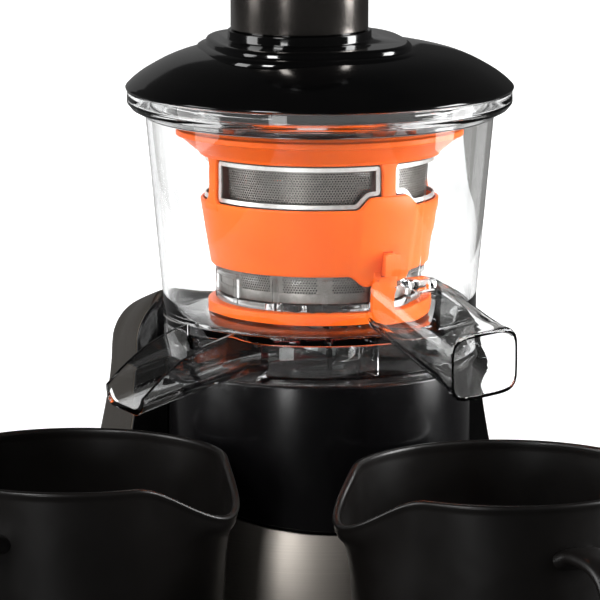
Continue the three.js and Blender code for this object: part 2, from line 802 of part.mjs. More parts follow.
// ---- auger -------------------------------------------------------------------
let auger = lathe(
  [
    [0, 160],
    [8.5, 160],
    [8.5, 169.3],
    [12.5, 169.3],
    [12.5, 179.2],
    [38.8, 179.2],
    [38.8, 181.4],
    [33, 184],
    [20, 207],
    [9, 243],
    [5, 245],
    [5, 256],
    [0, 257],
  ],
  24,
);
{
  const turns = 2.6,
    n = 28,
    rings4 = [];
  for (let k = 0; k <= n; k++) {
    const t = k / n,
      a = -t * turns * 2 * Math.PI,
      z = 182 + t * 54;
    const ro = rMesh(z) - T_MESH - 0.9,
      h = 4.6 - 2.2 * t,
      ri = 6;
    const e = t > 0.93 ? (1 - t) / 0.07 : 1;
    const R = ri + (ro - ri) * (0.35 + 0.65 * e);
    rings4.push(
      [
        [ri, z],
        [R, z - 0.4],
        [R, z + h - 1.2],
        [ri, z + h],
      ].map(([r, zz]) => [r * Math.cos(a), r * Math.sin(a), zz]),
    );
  }
  auger = auger.add(loft(rings4));
}
auger = auger.add(gear(SUN_T, M_WIPER, 169.3, 175));
auger = auger.subtract(hex(12.2, 150, 197));
add("auger", auger, M.dark);
let idler = gear(IDLER_T, M_WIPER, 169.3, 174.6).subtract(disc(2.75, 160, 180, 14));
// wiper ring: internal teeth
let wiperRing = disc(46, 169, 175.2, SEG).subtract(
  prism(gearOutline(RING_T, M_WIPER, { internal: true }), 160, 180),
);

// ---- wiper -------------------------------------------------------------------
// posts: degrees clockwise from the front
const POSTS = [23.5, -76.7, -156.5, 103.3];
const BUMPS = [23.5, -156.5];
let wiper = lathe([
  [46.9, 233.2],
  [48.5, 233.2],
  [49.2, 235.8],
  [59, 239.0],
  [59, 241.4],
  [56.4, 242.6],
  [56.4, 249],
  [54.2, 249],
  [54.2, 242],
  [47.3, 238.4],
]);
const rBandO = (z) => 44.9 + (4.3 * (z - 190.5)) / 28,
  rBandI = (z) => rBandO(z) - 1.9;
wiper = wiper.add(
  lathe([
    [rBandI(191), 190.5],
    [rBandO(191), 190.5],
    [rBandO(218) , 218.6],
    [rBandI(218), 218.6],
  ]),
);
for (const d of POSTS) {
  const a = Math.atan2(dirOf(d).y, dirOf(d).x);
  wiper = wiper.add(
    loft(
      [216, 225, 235].map((z) => {
        const r1 = 48.4,
          r0 = 46.9 + (z - 216) * 0.01;
        return [
          [r0, -3.4, z],
          [r1, -3.4, z],
          [r1, 3.4, z],
          [r0, 3.4, z],
        ].map(([x, y, zz]) => [
          x * Math.cos(a) - y * Math.sin(a),
          x * Math.sin(a) + y * Math.cos(a),
          zz,
        ]);
      }),
    ),
  );
}
for (const d of BUMPS) {
  const a = Math.atan2(dirOf(d).y, dirOf(d).x);
  // rounded swelling of the band, above and below
  const bump = lathe([
    [44.0, 184],
    [rBandO(184) + 1.4, 184],
    [rBandO(224), 224],
    [rBandI(224), 224],
  ], 24).intersect(
    toSolid(new THREE.CylinderGeometry(1, 1, 40, 12).rotateZ(Math.PI / 2))
      .scale([1, 15.5, 19])
      .translate([40, 0, 204.5]),
  );
  wiper = wiper.add(rotZ(bump, a));
  // leg down to the ring gear
  wiper = wiper.add(
    rotZ(box(2.2, 12, 22, 45.0, 0, 180.4).add(box(2.2, 12, 8, 45.6, 0, 190)), a),
  );
  wiper = wiper.subtract(rotZ(box(12, 5, 22, 46, 0, 200), a)); // slot for the blade
}
wiper = wiper.add(wiperRing);
wiper = wiper.decompose().sort((a, b) => b.volume() - a.volume())[0];
add("wiper_frame", wiper, M.orange);
BUMPS.forEach((d, i) => {
  const a = Math.atan2(dirOf(d).y, dirOf(d).x);
  const blade = box(5.4, 4.4, 21.4, 46.9, 0, 200).add(box(1.3, 6.6, 24, 49.9, 0, 200));
  add(i ? "wiper_blade_rear" : "wiper_blade_front", rotZ(blade, a), M.red);
});

// ---- lid ---------------------------------------------------------------------
let lid = lathe([
  [0, 277.2],
  [44.8, 275.4],
  [64.4, 269.6],
  [76.4, 262],
  [79.2, 262],
  [80, 262.8],
  [78.3, 266],
  [72.7, 269.6],
  [64.4, 273.8],
  [44.8, 279.4],
  [0, 281.4],
]);
const deckC = [-5.0, -0.8];
lid = lid.add(loft([
  superEllipse(44, 49.5, 2.6, 20, ...deckC).map(([x, y]) => [x, y, 272.2]),
  superEllipse(44, 49.5, 2.6, 20, ...deckC).map(([x, y]) => [x, y, 278.6]),
  superEllipse(41.4, 46.6, 2.6, 20, ...deckC).map(([x, y]) => [x, y, 279.4]),
  superEllipse(40.6, 45.8, 2.6, 20, ...deckC).map(([x, y]) => [x, y, 281.6]),
  superEllipse(39.4, 44.6, 2.6, 20, ...deckC).map(([x, y]) => [x, y, Z_DECK]),
]));
lid = lid.subtract(cone(66, 36, 262, 276.6, SEG).intersect(disc(70, 262, 276.2, SEG)));
// underside plate with the auger bearing, tube and its collar
lid = lid.add(disc(31, 268, 279, 20, TUBE_X, 0));
lid = lid.add(disc(29.4, 281, 286.2, 24, TUBE_X, 0)).add(disc(26.6, 280, Z_TUBE_TOP, 24, TUBE_X, 0))
  .add(disc(29.2, Z_TUBE_TOP - 3, Z_TUBE_TOP + 2, 24, TUBE_X, 0));
lid = lid.subtract(disc(24.9, 272, 380, 24, TUBE_X, 0));
// feed opening: the tube's bore less the bearing boss and its bridge
let throat = disc(24.9, 260, 273, 24, TUBE_X, 0)
  .subtract(disc(9.5, 250, 280, 20))
  .subtract(box(30, 9, 30, 15, 0, 266));
lid = lid.subtract(throat);
lid = lid.add(disc(8.6, 249.5, 268.5, 20)).subtract(disc(5.35, 240, 259.5, 16));
// plug ring and three locking lugs
lid = lid.add(ring(66.2, 68.4, 258.8, 266.5));
for (const d of [-4.5, 115.5, 235.5]) {
  const lug = ring(73.2, 76.0, 257.4, 263.2, 48).intersect(
    prism(
      [
        [0, 0],
        ...[-22, -11, 0, 11, 22].map((k) => [
          100 * Math.cos(rad(k)),
          100 * Math.sin(rad(k)),
        ]),
      ],
      250,
      270,
    ),
  );
  lid = lid.add(rotZ(lug, Math.atan2(dirOf(d).y, dirOf(d).x)));
}
lid = lid.decompose().sort((a, b) => b.volume() - a.volume())[0];
add("lid", lid, M.glossBlack);
add("tube_sleeve", ring(26.9, R_TUBE, 286.5, Z_TUBE_TOP - 3.4, 24).translate([TUBE_X, 0, 0]), M.gunmetal);
add("lid_seal", ring(68.8, 71.2, 258.3, 261.2), M.rubber);

// pusher
add(
  "pusher_body",
  lathe(
    [
      [0, 276],
      [23, 276],
      [24.4, 277.4],
      [24.4, Z_TUBE_TOP + 1.8],
      [22.2, Z_TUBE_TOP + 1.8],
      [22.2, 279],
      [0, 279],
    ],
    24,
  ).translate([TUBE_X, 0, 0]),
  M.satinBlack,
);
add(
  "pusher_cap",
  lathe(
    [
      [0, Z_TUBE_TOP + 2.4],
      [21.6, Z_TUBE_TOP + 2.4],
      [21.6, Z_TUBE_TOP - 2],
      [22.0 - 0.1, Z_TUBE_TOP - 2],
      [22.0 - 0.1, Z_TUBE_TOP + 2.3],
      [30.6, Z_TUBE_TOP + 2.3],
      [31.2, Z_TUBE_TOP + 9],
      [29.5, Z_TUBE_TOP + 11.4],
      [0, Z_TUBE_TOP + 13],
    ],
    24,
  ).translate([TUBE_X, 0, 0]),
  M.glossBlack,
);

// ---- jugs --------------------------------------------------------------------
// lipDeg and handleDeg are counter-clockwise from +X
function jugCup(lipDeg) {
  const n = 32;
  const prof = (inner) => {
    const zs = inner ? [JUG_WALL + 0.8, 6, 84, JUG_H + 4] : [0, 2, 84, JUG_H];
    return zs.map((z) => {
      const r = JUG_R_FOOT + ((JUG_R - JUG_R_FOOT) * Math.min(z, JUG_H)) / JUG_H;
      const rr = inner ? r - JUG_WALL - (z < 3.2 ? 3 : 0) : z === 0 ? r - 2 : r;
      const out = [];
      for (let i = 0; i < n; i++) {
        const a = (i / n) * 2 * Math.PI;
        let d = ((a * 180) / Math.PI - lipDeg + 540) % 360 - 180;
        const w = Math.abs(d) < 32 ? 0.5 + 0.5 * Math.cos((Math.PI * d) / 32) : 0;
        const h = smooth((z - 70) / (JUG_H - 70));
        out.push([(rr + 8 * w * h) * Math.cos(a), (rr + 8 * w * h) * Math.sin(a), z]);
      }
      return out;
    });
  };
  let cup = loft(prof(false)).subtract(loft(prof(true)));
  // the rim dips at the lip
  const dip = loft(
    [-1, -0.72, -0.36, 0, 0.36, 0.72, 1].map((u) => {
      const y = u * 37,
        z = JUG_H - 16 * (0.5 + 0.5 * Math.cos(Math.PI * u)) + 0.02;
      return [
        [20, y, z],
        [90, y, z],
        [90, y, JUG_H + 12],
        [20, y, JUG_H + 12],
      ];
    }),
  );
  cup = cup.subtract(rotZ(dip, rad(lipDeg)));
  return cup;
}
function jugHandle(handleDeg) {
  // ear handle: a flat bar bent round, swept as an outline in the radial plane
  const path = new THREE.CatmullRomCurve3(
    [
      [60.9, 0, 101],
      [74, 0, 103.5],
      [90, 0, 99],
      [97, 0, 84],
      [96, 0, 62],
      [90, 0, 42],
      [78, 0, 29],
      [59.6, 0, 25],
    ].map((p) => new THREE.Vector3(...p)),
  );
  const n = 11,
    rings = [];
  for (let k = 0; k <= n; k++) {
    const p = path.getPoint(k / n),
      t = path.getTangent(k / n);
    const nx = -t.z,
      nz = t.x; // in-plane normal
    const hw = 9 - 1.5 * Math.sin((Math.PI * k) / n),
      th = 3.0;
    rings.push(
      superEllipse(th, hw, 3.2, 8).map(([u, v]) => [p.x + nx * u, v, p.z + nz * u]),
    );
  }
  const clear = lathe([
    [0, 0],
    [JUG_R_FOOT + 1, 0],
    [JUG_R + 1, JUG_H],
    [0, JUG_H],
  ]);
  return rotZ(loft(rings).subtract(clear), rad(handleDeg));
}
const JUGS = {
  juice_jug: { at: JUICE_JUG, lip: 187, handle: 283 },
  pulp_jug: { at: PULP_JUG, lip: -37, handle: 227 },
};
for (const [name, j] of Object.entries(JUGS)) {
  add(name, jugCup(j.lip).translate([j.at[0], j.at[1], 0]), M.satinBlack);
  add(
    name + "_handle",
    jugHandle(j.handle).translate([j.at[0], j.at[1], 0]),
    M.satinBlack,
  );
}

// ---- assemble ----------------------------------------------------------------
// the drum axis stands behind the middle of the footprint
const AXIS_X = 37.12,
  AXIS_Y = 50.25;
const rig = new THREE.Group();
rig.position.set(AXIS_X, AXIS_Y, 0);
const meshOf = (name, solid, material) => {
  const mesh = new THREE.Mesh(toGeometry(solid), material);
  mesh.name = name;
  return mesh;
};
for (const [name, solid, material] of pieces) rig.add(meshOf(name, solid, material));

// the cluster gear turns on its own axis behind the drum axis
{
  // each wheel is turned so that a tooth of it stands in a gap of its pinion
  const tooth = (teeth, at) => Math.round((at * teeth) / 360) * (360 / teeth) - at; // nearest tooth past `at`
  const turn = (wheelT, wheelAt, pinionT, pinionAt) => {
    const past = -tooth(pinionT, pinionAt); // how far the pinion's tooth lies back from the line of centres
    const rolled = (past * pinionT) / wheelT;
    return rad(-tooth(wheelT, wheelAt) + 180 / wheelT - rolled);
  };
  const cluster = new THREE.Group();
  cluster.position.set(0, GEAR_CENTRES, 0);
  rig.add(cluster);
  for (const n of ["counter_wheel", "counter_pinion", "counter_shaft"]) {
    const m = rig.getObjectByName(n);
    cluster.add(m);
  }
  rig.getObjectByName("counter_wheel").rotation.z = turn(WHEEL1_T, 270, PINION1_T, 90);
  rig.getObjectByName("output_wheel").rotation.z = turn(WHEEL2_T, 90, PINION2_T, 270);
}
{
  // sun on the auger, idler on its pin at IDLER_ANGLE, ring inside the wiper
  const sunPitch = (2 * Math.PI) / SUN_T;
  const frac = (x, p) => x - Math.round(x / p) * p;
  // angle of the sun tooth nearest the idler direction
  const off = frac(IDLER_ANGLE, sunPitch); // idler direction lies off past a tooth centre
  // the idler turns by -(r_sun / r_idler) * off so that its gap meets that tooth
  const idlerPitch = (2 * Math.PI) / IDLER_T;
  const facing = IDLER_ANGLE + Math.PI; // from the idler towards the sun
  // gap centre on the facing direction when off = 0, moved by rolling
  const roll = off * (SUN_T / IDLER_T);
  const idlerRot = facing + idlerPitch / 2 + roll;
  const im = new THREE.Mesh(toGeometry(idler), M.white);
  im.name = "idler_gear";
  im.position.set(IX, IY, 0);
  im.rotation.z = idlerRot;
  rig.add(im);
}

const juicer = new THREE.Group();
juicer.add(rig);
export default juicer;
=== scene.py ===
import math

import bmesh
import bpy
import numpy as np
from mathutils import Matrix, Vector


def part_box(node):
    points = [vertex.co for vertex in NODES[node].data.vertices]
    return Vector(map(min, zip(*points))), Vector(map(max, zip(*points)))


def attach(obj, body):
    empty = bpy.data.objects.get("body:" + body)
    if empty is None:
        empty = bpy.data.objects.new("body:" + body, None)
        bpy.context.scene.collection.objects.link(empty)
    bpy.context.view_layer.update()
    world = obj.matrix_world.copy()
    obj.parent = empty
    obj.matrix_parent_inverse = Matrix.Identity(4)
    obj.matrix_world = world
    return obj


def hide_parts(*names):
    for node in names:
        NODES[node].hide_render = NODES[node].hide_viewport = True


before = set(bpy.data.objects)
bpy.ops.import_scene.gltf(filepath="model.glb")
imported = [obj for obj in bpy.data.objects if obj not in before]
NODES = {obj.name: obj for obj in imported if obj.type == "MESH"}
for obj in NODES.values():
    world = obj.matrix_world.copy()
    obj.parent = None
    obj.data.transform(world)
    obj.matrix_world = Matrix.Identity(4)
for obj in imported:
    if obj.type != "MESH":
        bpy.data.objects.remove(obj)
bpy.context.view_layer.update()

MM = 0.001
_lo, _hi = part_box("motor_rotor")
AX, AY = (_lo.x + _hi.x) / 2 / MM, (_lo.y + _hi.y) / 2 / MM  # drum axis, mm

# ---------------------------------------------------------------- numbers (mm)
R_SEAT, Z_SEAT_RIM = 62.5, 148.6
R_STEEL = 61.0
Z_FLOOR = 168.0
Z_TUBE_TOP = 360.0
TUBE_X = -8.5
SKEW = 0.26
JUG_R, JUG_R_FOOT, JUG_H = 62.0, 57.5, 123.0
POSTS = [23.5, -76.7, -156.5, 103.3]
BUMPS = [23.5, -156.5]
JUICE_DIR, JUICE_ROOT, PULP_DIR, PULP_ROOT = 35.0, 21.0, -75.0, -51.0


def rad(d):
    return d * math.pi / 180


def dir_of(deg):
    return np.array([math.sin(rad(deg)), -math.cos(rad(deg))])


def math_angle(deg):
    """counter-clockwise angle from +X of a direction given clockwise from the front"""
    d = dir_of(deg)
    return math.atan2(d[1], d[0])


# ---------------------------------------------------------------- mesh helpers
def make(name, verts, faces, smooth=32):
    """object from mm vertices about the drum axis"""
    me = bpy.data.meshes.new(name)
    v = (np.asarray(verts, float) + [AX, AY, 0]) * MM
    me.from_pydata([tuple(p) for p in v], [], [tuple(map(int, f)) for f in faces])
    me.validate()
    o = bpy.data.objects.new(name, me)
    bpy.context.scene.collection.objects.link(o)
    tidy(o, smooth)
    return o


def tidy(o, smooth=32, merge=1e-6):
    bm = bmesh.new()
    bm.from_mesh(o.data)
    bmesh.ops.remove_doubles(bm, verts=bm.verts, dist=merge)
    bmesh.ops.dissolve_degenerate(bm, edges=bm.edges, dist=1e-7)
    bmesh.ops.recalc_face_normals(bm, faces=bm.faces)
    bm.to_mesh(o.data)
    bm.free()
    o.data.polygons.foreach_set("use_smooth", [True] * len(o.data.polygons))
    if smooth:
        o.data.set_sharp_from_angle(angle=rad(smooth))
    o.data.update()


def bake_modifiers(o):
    dg = bpy.context.evaluated_depsgraph_get()
    me = bpy.data.meshes.new_from_object(o.evaluated_get(dg))
    old = o.data
    o.modifiers.clear()
    o.data = me
    bpy.data.meshes.remove(old)


def boolean(o, tool, op="DIFFERENCE", keep=False, smooth=32):
    m = o.modifiers.new("b", "BOOLEAN")
    m.operation, m.solver, m.object = op, "EXACT", tool
    bake_modifiers(o)
    if not keep:
        bpy.data.objects.remove(tool)
    tidy(o, smooth)
    return o


def drop_bits(o, keep=1):
    """keeps the largest connected bodies"""
    bm = bmesh.new()
    bm.from_mesh(o.data)
    seen, groups = set(), []
    for v in bm.verts:
        if v in seen:
            continue
        stack, g = [v], []
        seen.add(v)
        while stack:
            w = stack.pop()
            g.append(w)
            for e in w.link_edges:
                q = e.other_vert(w)
                if q not in seen:
                    seen.add(q)
                    stack.append(q)
        groups.append(g)
    groups.sort(key=len, reverse=True)
    for g in groups[keep:]:
        bmesh.ops.delete(bm, geom=g, context="VERTS")
    bm.to_mesh(o.data)
    bm.free()


def fil(pts, closed=True, seg=4):
    """(a, b[, radius]) corners to a polyline with rounded corners"""
    out, n = [], len(pts)
    for i, p in enumerate(pts):
        r0 = p[2] if len(p) > 2 else 0
        if r0 <= 0 or (not closed and i in (0, n - 1)):
            out.append((p[0], p[1]))
            continue
        a, b, c = (np.array(q[:2], float) for q in (pts[i - 1], p, pts[(i + 1) % n]))
        u, v = a - b, c - b
        lu, lv = np.linalg.norm(u), np.linalg.norm(v)
        u, v = u / lu, v / lv
        ang = math.acos(float(np.clip(u @ v, -1, 1)))
        if ang > math.pi - 0.02 or ang < 0.02:
            out.append(tuple(b))
            continue
        t = min(r0 / math.tan(ang / 2), lu * 0.49, lv * 0.49)
        r = t * math.tan(ang / 2)
        w = (u + v) / np.linalg.norm(u + v)
        cen = b + w * (r / math.sin(ang / 2))
        s, e = b + u * t - cen, b + v * t - cen
        a0, a1 = math.atan2(s[1], s[0]), math.atan2(e[1], e[0])
        d = (a1 - a0 + math.pi) % (2 * math.pi) - math.pi
        for k in range(seg + 1):
            q = a0 + d * k / seg
            out.append((cen[0] + r * math.cos(q), cen[1] + r * math.sin(q)))
    return out


def curve(pts, n=8):
    """smooth curve through points (Catmull-Rom)"""
    p = np.asarray(pts, float)
    q = np.vstack([2 * p[0] - p[1], p, 2 * p[-1] - p[-2]])
    out = []
    for i in range(1, len(q) - 2):
        for k in range(n):
            t = k / n
            a, b, c, d = q[i - 1 : i + 3]
            out.append(
                0.5
                * (
                    2 * b
                    + (c - a) * t
                    + (2 * a - 5 * b + 4 * c - d) * t * t
                    + (3 * b - a - 3 * c + d) * t**3
                )
            )
    out.append(p[-1])
    return [tuple(x) for x in out]


def lathe(name, prof, n=144, at=(0, 0), smooth=32, a0=0.0, a1=None):
    """turned solid from a closed (r, z) profile; a partial turn is capped"""
    p = np.asarray(prof, float)
    full = a1 is None
    m = n if full else n + 1
    ang = a0 + (2 * math.pi if full else a1 - a0) * np.arange(m) / n
    k = len(p)
    v = np.zeros((m, k, 3))
    v[..., 0] = np.cos(ang)[:, None] * p[:, 0] + at[0]
    v[..., 1] = np.sin(ang)[:, None] * p[:, 0] + at[1]
    v[..., 2] = p[:, 1]
    f = []
    for i in range(n):
        i2 = (i + 1) % m
        for j in range(k):
            j2 = (j + 1) % k
            if p[j, 0] < 1e-6 and p[j2, 0] < 1e-6:
                continue
            f.append((i * k + j, i2 * k + j, i2 * k + j2, i * k + j2))
    if not full:
        f.append(tuple(range(k)))
        f.append(tuple((m - 1) * k + j for j in reversed(range(k))))
    return make(name, v.reshape(-1, 3), f, smooth)


def loft(name, rings, cap=True, smooth=32, closed=True, loop=False):
    """solid through equal rings of points"""
    r = np.asarray(rings, float)
    m, k = r.shape[:2]
    f = []
    for i in range(m if loop else m - 1):
        i2 = (i + 1) % m
        for j in range(k if closed else k - 1):
            j2 = (j + 1) % k
            f.append((i * k + j, i * k + j2, i2 * k + j2, i2 * k + j))
    if cap and not loop:
        f.append(tuple(reversed(range(k))))
        f.append(tuple((m - 1) * k + j for j in range(k)))
    return make(name, r.reshape(-1, 3), f, smooth)


def super_ellipse(a, b, n, count, cx=0.0, cy=0.0, turn=0.0):
    t = 2 * math.pi * np.arange(count) / count
    c, s = np.cos(t), np.sin(t)
    x = a * np.sign(c) * np.abs(c) ** (2 / n)
    y = b * np.sign(s) * np.abs(s) ** (2 / n)
    # even spacing along the outline
    xs, ys = np.append(x, x[0]), np.append(y, y[0])
    L = np.concatenate([[0], np.cumsum(np.hypot(np.diff(xs), np.diff(ys)))])
    q = np.linspace(0, L[-1], count, endpoint=False)
    x, y = np.interp(q, L, xs), np.interp(q, L, ys)
    ct, st = math.cos(turn), math.sin(turn)
    return np.stack([cx + x * ct - y * st, cy + x * st + y * ct], 1)


def cuboid(name, size, at, turn=0.0, r=0.0):
    """rounded block; size and place in mm, turned about Z at the drum axis"""
    w, d, h = size
    out = super_ellipse(w / 2, d / 2, 12, 24) if r else np.array([[-w / 2, -d / 2], [w / 2, -d / 2], [w / 2, d / 2], [-w / 2, d / 2]])
    rings = []
    steps = [(-h / 2, r), (-h / 2 + r * 0.3, r * 0.3), (-h / 2 + r, 0), (h / 2 - r, 0), (h / 2 - r * 0.3, r * 0.3), (h / 2, r)] if r else [(-h / 2, 0), (h / 2, 0)]
    for z, inset in steps:
        k = np.array([(w - 2 * inset) / w, (d - 2 * inset) / d])
        q = out * k + [at[0], at[1]]
        c, s = math.cos(turn), math.sin(turn)
        q = np.stack([q[:, 0] * c - q[:, 1] * s, q[:, 0] * s + q[:, 1] * c], 1)
        rings.append(np.column_stack([q, np.full(len(q), z + at[2])]))
    return loft(name, rings)


def soften(o, width=0.5, segments=2, angle=35, smooth=40):
    m = o.modifiers.new("bev", "BEVEL")
    m.width, m.segments, m.limit_method, m.angle_limit = width * MM, segments, "ANGLE", rad(angle)
    m.use_clamp_overlap = True
    bake_modifiers(o)
    tidy(o, smooth)
    return o


def piece(o, body, mat, *nodes, slot=None):
    o.data.materials.clear()
    o.data.materials.append(mat)
    if nodes:
        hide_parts(*nodes)
    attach(o, body)
    return o


# ---------------------------------------------------------------- materials
def new_mat(name):
    m = bpy.data.materials.new(name)
    m.use_nodes = True
    nt = m.node_tree
    p = nt.nodes["Principled BSDF"]
    return m, nt, p


def node(nt, kind, **kw):
    n = nt.nodes.new(kind)
    for k, v in kw.items():
        if k in n.inputs:
            n.inputs[k].default_value = v
        else:
            setattr(n, k, v)
    return n


def coords(nt, scale=(1, 1, 1)):
    tc = node(nt, "ShaderNodeTexCoord")
    mp = node(nt, "ShaderNodeMapping")
    mp.inputs["Scale"].default_value = scale
    nt.links.new(tc.outputs["Object"], mp.inputs["Vector"])
    return mp.outputs["Vector"]


def ramp(nt, fac, stops):
    r = node(nt, "ShaderNodeValToRGB")
    e = r.color_ramp.elements
    while len(e) < len(stops):
        e.new(0.5)
    for i, (pos, col) in enumerate(stops):
        e[i].position = pos
        e[i].color = (*col, 1) if len(col) == 3 else col
    nt.links.new(fac, r.inputs["Fac"])
    return r.outputs["Color"]


def noise(nt, vec, scale, detail=3.0, rough=0.5):
    n = node(nt, "ShaderNodeTexNoise", Scale=scale, Detail=detail, Roughness=rough)
    nt.links.new(vec, n.inputs["Vector"])
    return n.outputs["Fac"]


def remap(nt, val, lo, hi, f0=0.3, f1=0.7):
    n = node(nt, "ShaderNodeMapRange")
    n.inputs["From Min"].default_value, n.inputs["From Max"].default_value = f0, f1
    n.inputs["To Min"].default_value, n.inputs["To Max"].default_value = lo, hi
    nt.links.new(val, n.inputs["Value"])
    return n.outputs["Result"]


def bump(nt, p, height, strength, dist=0.0004):
    b = node(nt, "ShaderNodeBump", Strength=strength, Distance=dist)
    nt.links.new(height, b.inputs["Height"])
    nt.links.new(b.outputs["Normal"], p.inputs["Normal"])


def plastic(name, c0, c1, rough, spread=0.04, grain=900, grain_s=0.04, spec=0.5, coat=0.0, metallic=0.0, sub=0.0):
    """moulded plastic or paint: faint colour drift, uneven gloss, fine grain"""
    m, nt, p = new_mat(name)
    v = coords(nt)
    nt.links.new(ramp(nt, noise(nt, v, 26, 4), [(0.3, c0), (0.7, c1)]), p.inputs["Base Color"])
    nt.links.new(remap(nt, noise(nt, v, 70, 3), rough - spread, rough + spread), p.inputs["Roughness"])
    bump(nt, p, noise(nt, v, grain, 2), grain_s)
    p.inputs["Specular IOR Level"].default_value = spec
    p.inputs["Coat Weight"].default_value = coat
    p.inputs["Coat Roughness"].default_value = 0.05
    p.inputs["Metallic"].default_value = metallic
    if sub:
        p.inputs["Subsurface Weight"].default_value = sub
        p.inputs["Subsurface Radius"].default_value = (0.004, 0.0015, 0.0008)
        p.inputs["Subsurface Scale"].default_value = 1.0
    return m


def metal_paint(name, c0, c1, rough, metallic=0.85, flake=2600):
    """metallic lacquer: small flakes in colour and gloss under a thin clear coat"""
    m, nt, p = new_mat(name)
    v = coords(nt)
    vo = node(nt, "ShaderNodeTexVoronoi", Scale=flake)
    nt.links.new(v, vo.inputs["Vector"])
    sep = node(nt, "ShaderNodeSeparateColor")
    nt.links.new(vo.outputs["Color"], sep.inputs["Color"])
    nt.links.new(ramp(nt, sep.outputs["Red"], [(0.0, c0), (1.0, c1)]), p.inputs["Base Color"])
    nt.links.new(remap(nt, noise(nt, v, 60, 3), rough - 0.03, rough + 0.03), p.inputs["Roughness"])
    bump(nt, p, noise(nt, v, 1400, 2), 0.03)
    p.inputs["Metallic"].default_value = metallic
    p.inputs["Coat Weight"].default_value = 0.25
    p.inputs["Coat Roughness"].default_value = 0.12
    return m


def brushed(name, c0, c1, rough, scale=(3, 3, 1500), aniso=0.5):
    """steel brushed round the drum: long fine streaks"""
    m, nt, p = new_mat(name)
    v = coords(nt, scale)
    s = noise(nt, v, 1.0, 6, 0.7)
    nt.links.new(ramp(nt, s, [(0.25, c0), (0.75, c1)]), p.inputs["Base Color"])
    nt.links.new(remap(nt, s, rough - 0.07, rough + 0.08), p.inputs["Roughness"])
    bump(nt, p, s, 0.12, 0.0002)
    p.inputs["Metallic"].default_value = 1.0
    p.inputs["Anisotropic"].default_value = aniso
    return m


def machined(name, c0, c1, rough):
    m, nt, p = new_mat(name)
    v = coords(nt)
    s = noise(nt, v, 420, 5, 0.6)
    nt.links.new(ramp(nt, s, [(0.3, c0), (0.7, c1)]), p.inputs["Base Color"])
    nt.links.new(remap(nt, s, rough - 0.06, rough + 0.06), p.inputs["Roughness"])
    bump(nt, p, s, 0.06, 0.0002)
    p.inputs["Metallic"].default_value = 1.0
    return m


def clear(name, tint=(0.985, 0.99, 0.99), ior=1.38, rough=0.015):
    """clear moulded plastic; lets lamps through to what is inside"""
    m, nt, p = new_mat(name)
    v = coords(nt)
    p.inputs["Transmission Weight"].default_value = 1.0
    p.inputs["IOR"].default_value = ior
    nt.links.new(ramp(nt, noise(nt, v, 12, 2), [(0.3, tint), (0.7, tuple(min(1, t + 0.008) for t in tint))]), p.inputs["Base Color"])
    nt.links.new(remap(nt, noise(nt, v, 90, 3), rough * 0.5, rough * 1.8), p.inputs["Roughness"])
    out = nt.nodes["Material Output"]
    lp = node(nt, "ShaderNodeLightPath")
    tr = node(nt, "ShaderNodeBsdfTransparent")
    tr.inputs["Color"].default_value = (0.93, 0.94, 0.94, 1)
    mx = node(nt, "ShaderNodeMixShader")
    nt.links.new(lp.outputs["Is Shadow Ray"], mx.inputs[0])
    nt.links.new(p.outputs["BSDF"], mx.inputs[1])
    nt.links.new(tr.outputs["BSDF"], mx.inputs[2])
    nt.links.new(mx.outputs["Shader"], out.inputs["Surface"])
    return m


M = {
    "lid": plastic("m_lid_gloss", (0.002, 0.002, 0.0022), (0.0035, 0.0033, 0.0033), 0.10, 0.03, 500, 0.012, coat=0.4),
    "gloss": plastic("m_gloss_black", (0.0025, 0.0025, 0.0027), (0.004, 0.0038, 0.0038), 0.13, 0.03, 500, 0.015, coat=0.3),
    "seat": plastic("m_seat_black", (0.0025, 0.0025, 0.003), (0.0045, 0.004, 0.0045), 0.22, 0.03, 700, 0.02),
    "jug": plastic("m_jug_black", (0.005, 0.0042, 0.0038), (0.008, 0.0066, 0.006), 0.34, 0.04, 900, 0.02),
    "satin": plastic("m_satin_black", (0.014, 0.014, 0.014), (0.024, 0.023, 0.022), 0.42, 0.05, 1300, 0.12),
    "body": metal_paint("m_body_graphite", (0.085, 0.070, 0.053), (0.13, 0.110, 0.087), 0.42),
    "sleeve": metal_paint("m_sleeve_gunmetal", (0.15, 0.138, 0.127), (0.22, 0.203, 0.188), 0.2, 0.94),
    "steel": brushed("m_skirt_brushed", (0.56, 0.505, 0.45), (0.76, 0.70, 0.63), 0.38),
    "mesh": machined("m_strainer_steel", (0.20, 0.188, 0.176), (0.28, 0.266, 0.25), 0.36),
    "lining": machined("m_window_lining", (0.70, 0.69, 0.67), (0.84, 0.83, 0.81), 0.38),
    "metal": machined("m_machined_steel", (0.42, 0.42, 0.43), (0.6, 0.6, 0.61), 0.32),
    "brass": machined("m_brass", (0.55, 0.40, 0.17), (0.70, 0.52, 0.24), 0.35),
    "clear": clear("m_clear"),
    "frost": clear("m_clear_soft", (0.97, 0.972, 0.968), 1.28, 0.05),
    "orange": plastic("m_wiper_orange", (0.96, 0.125, 0.004), (1.0, 0.155, 0.008), 0.42, 0.05, 700, 0.04, spec=0.22, sub=0.08),
    "red": plastic("m_silicone_red", (0.30, 0.012, 0.010), (0.40, 0.022, 0.016), 0.48, 0.06, 900, 0.1, sub=0.1),
    "rubber": plastic("m_rubber", (0.016, 0.016, 0.016), (0.03, 0.03, 0.03), 0.75, 0.06, 1500, 0.2, spec=0.3),
    "white": plastic("m_moulded_white", (0.66, 0.65, 0.62), (0.76, 0.75, 0.72), 0.45, 0.05, 900, 0.08),
    "dark": plastic("m_moulded_dark", (0.028, 0.028, 0.03), (0.045, 0.045, 0.048), 0.42, 0.05, 1000, 0.08),
    "board": plastic("m_board", (0.012, 0.12, 0.045), (0.03, 0.18, 0.07), 0.4, 0.06, 400, 0.15),
}


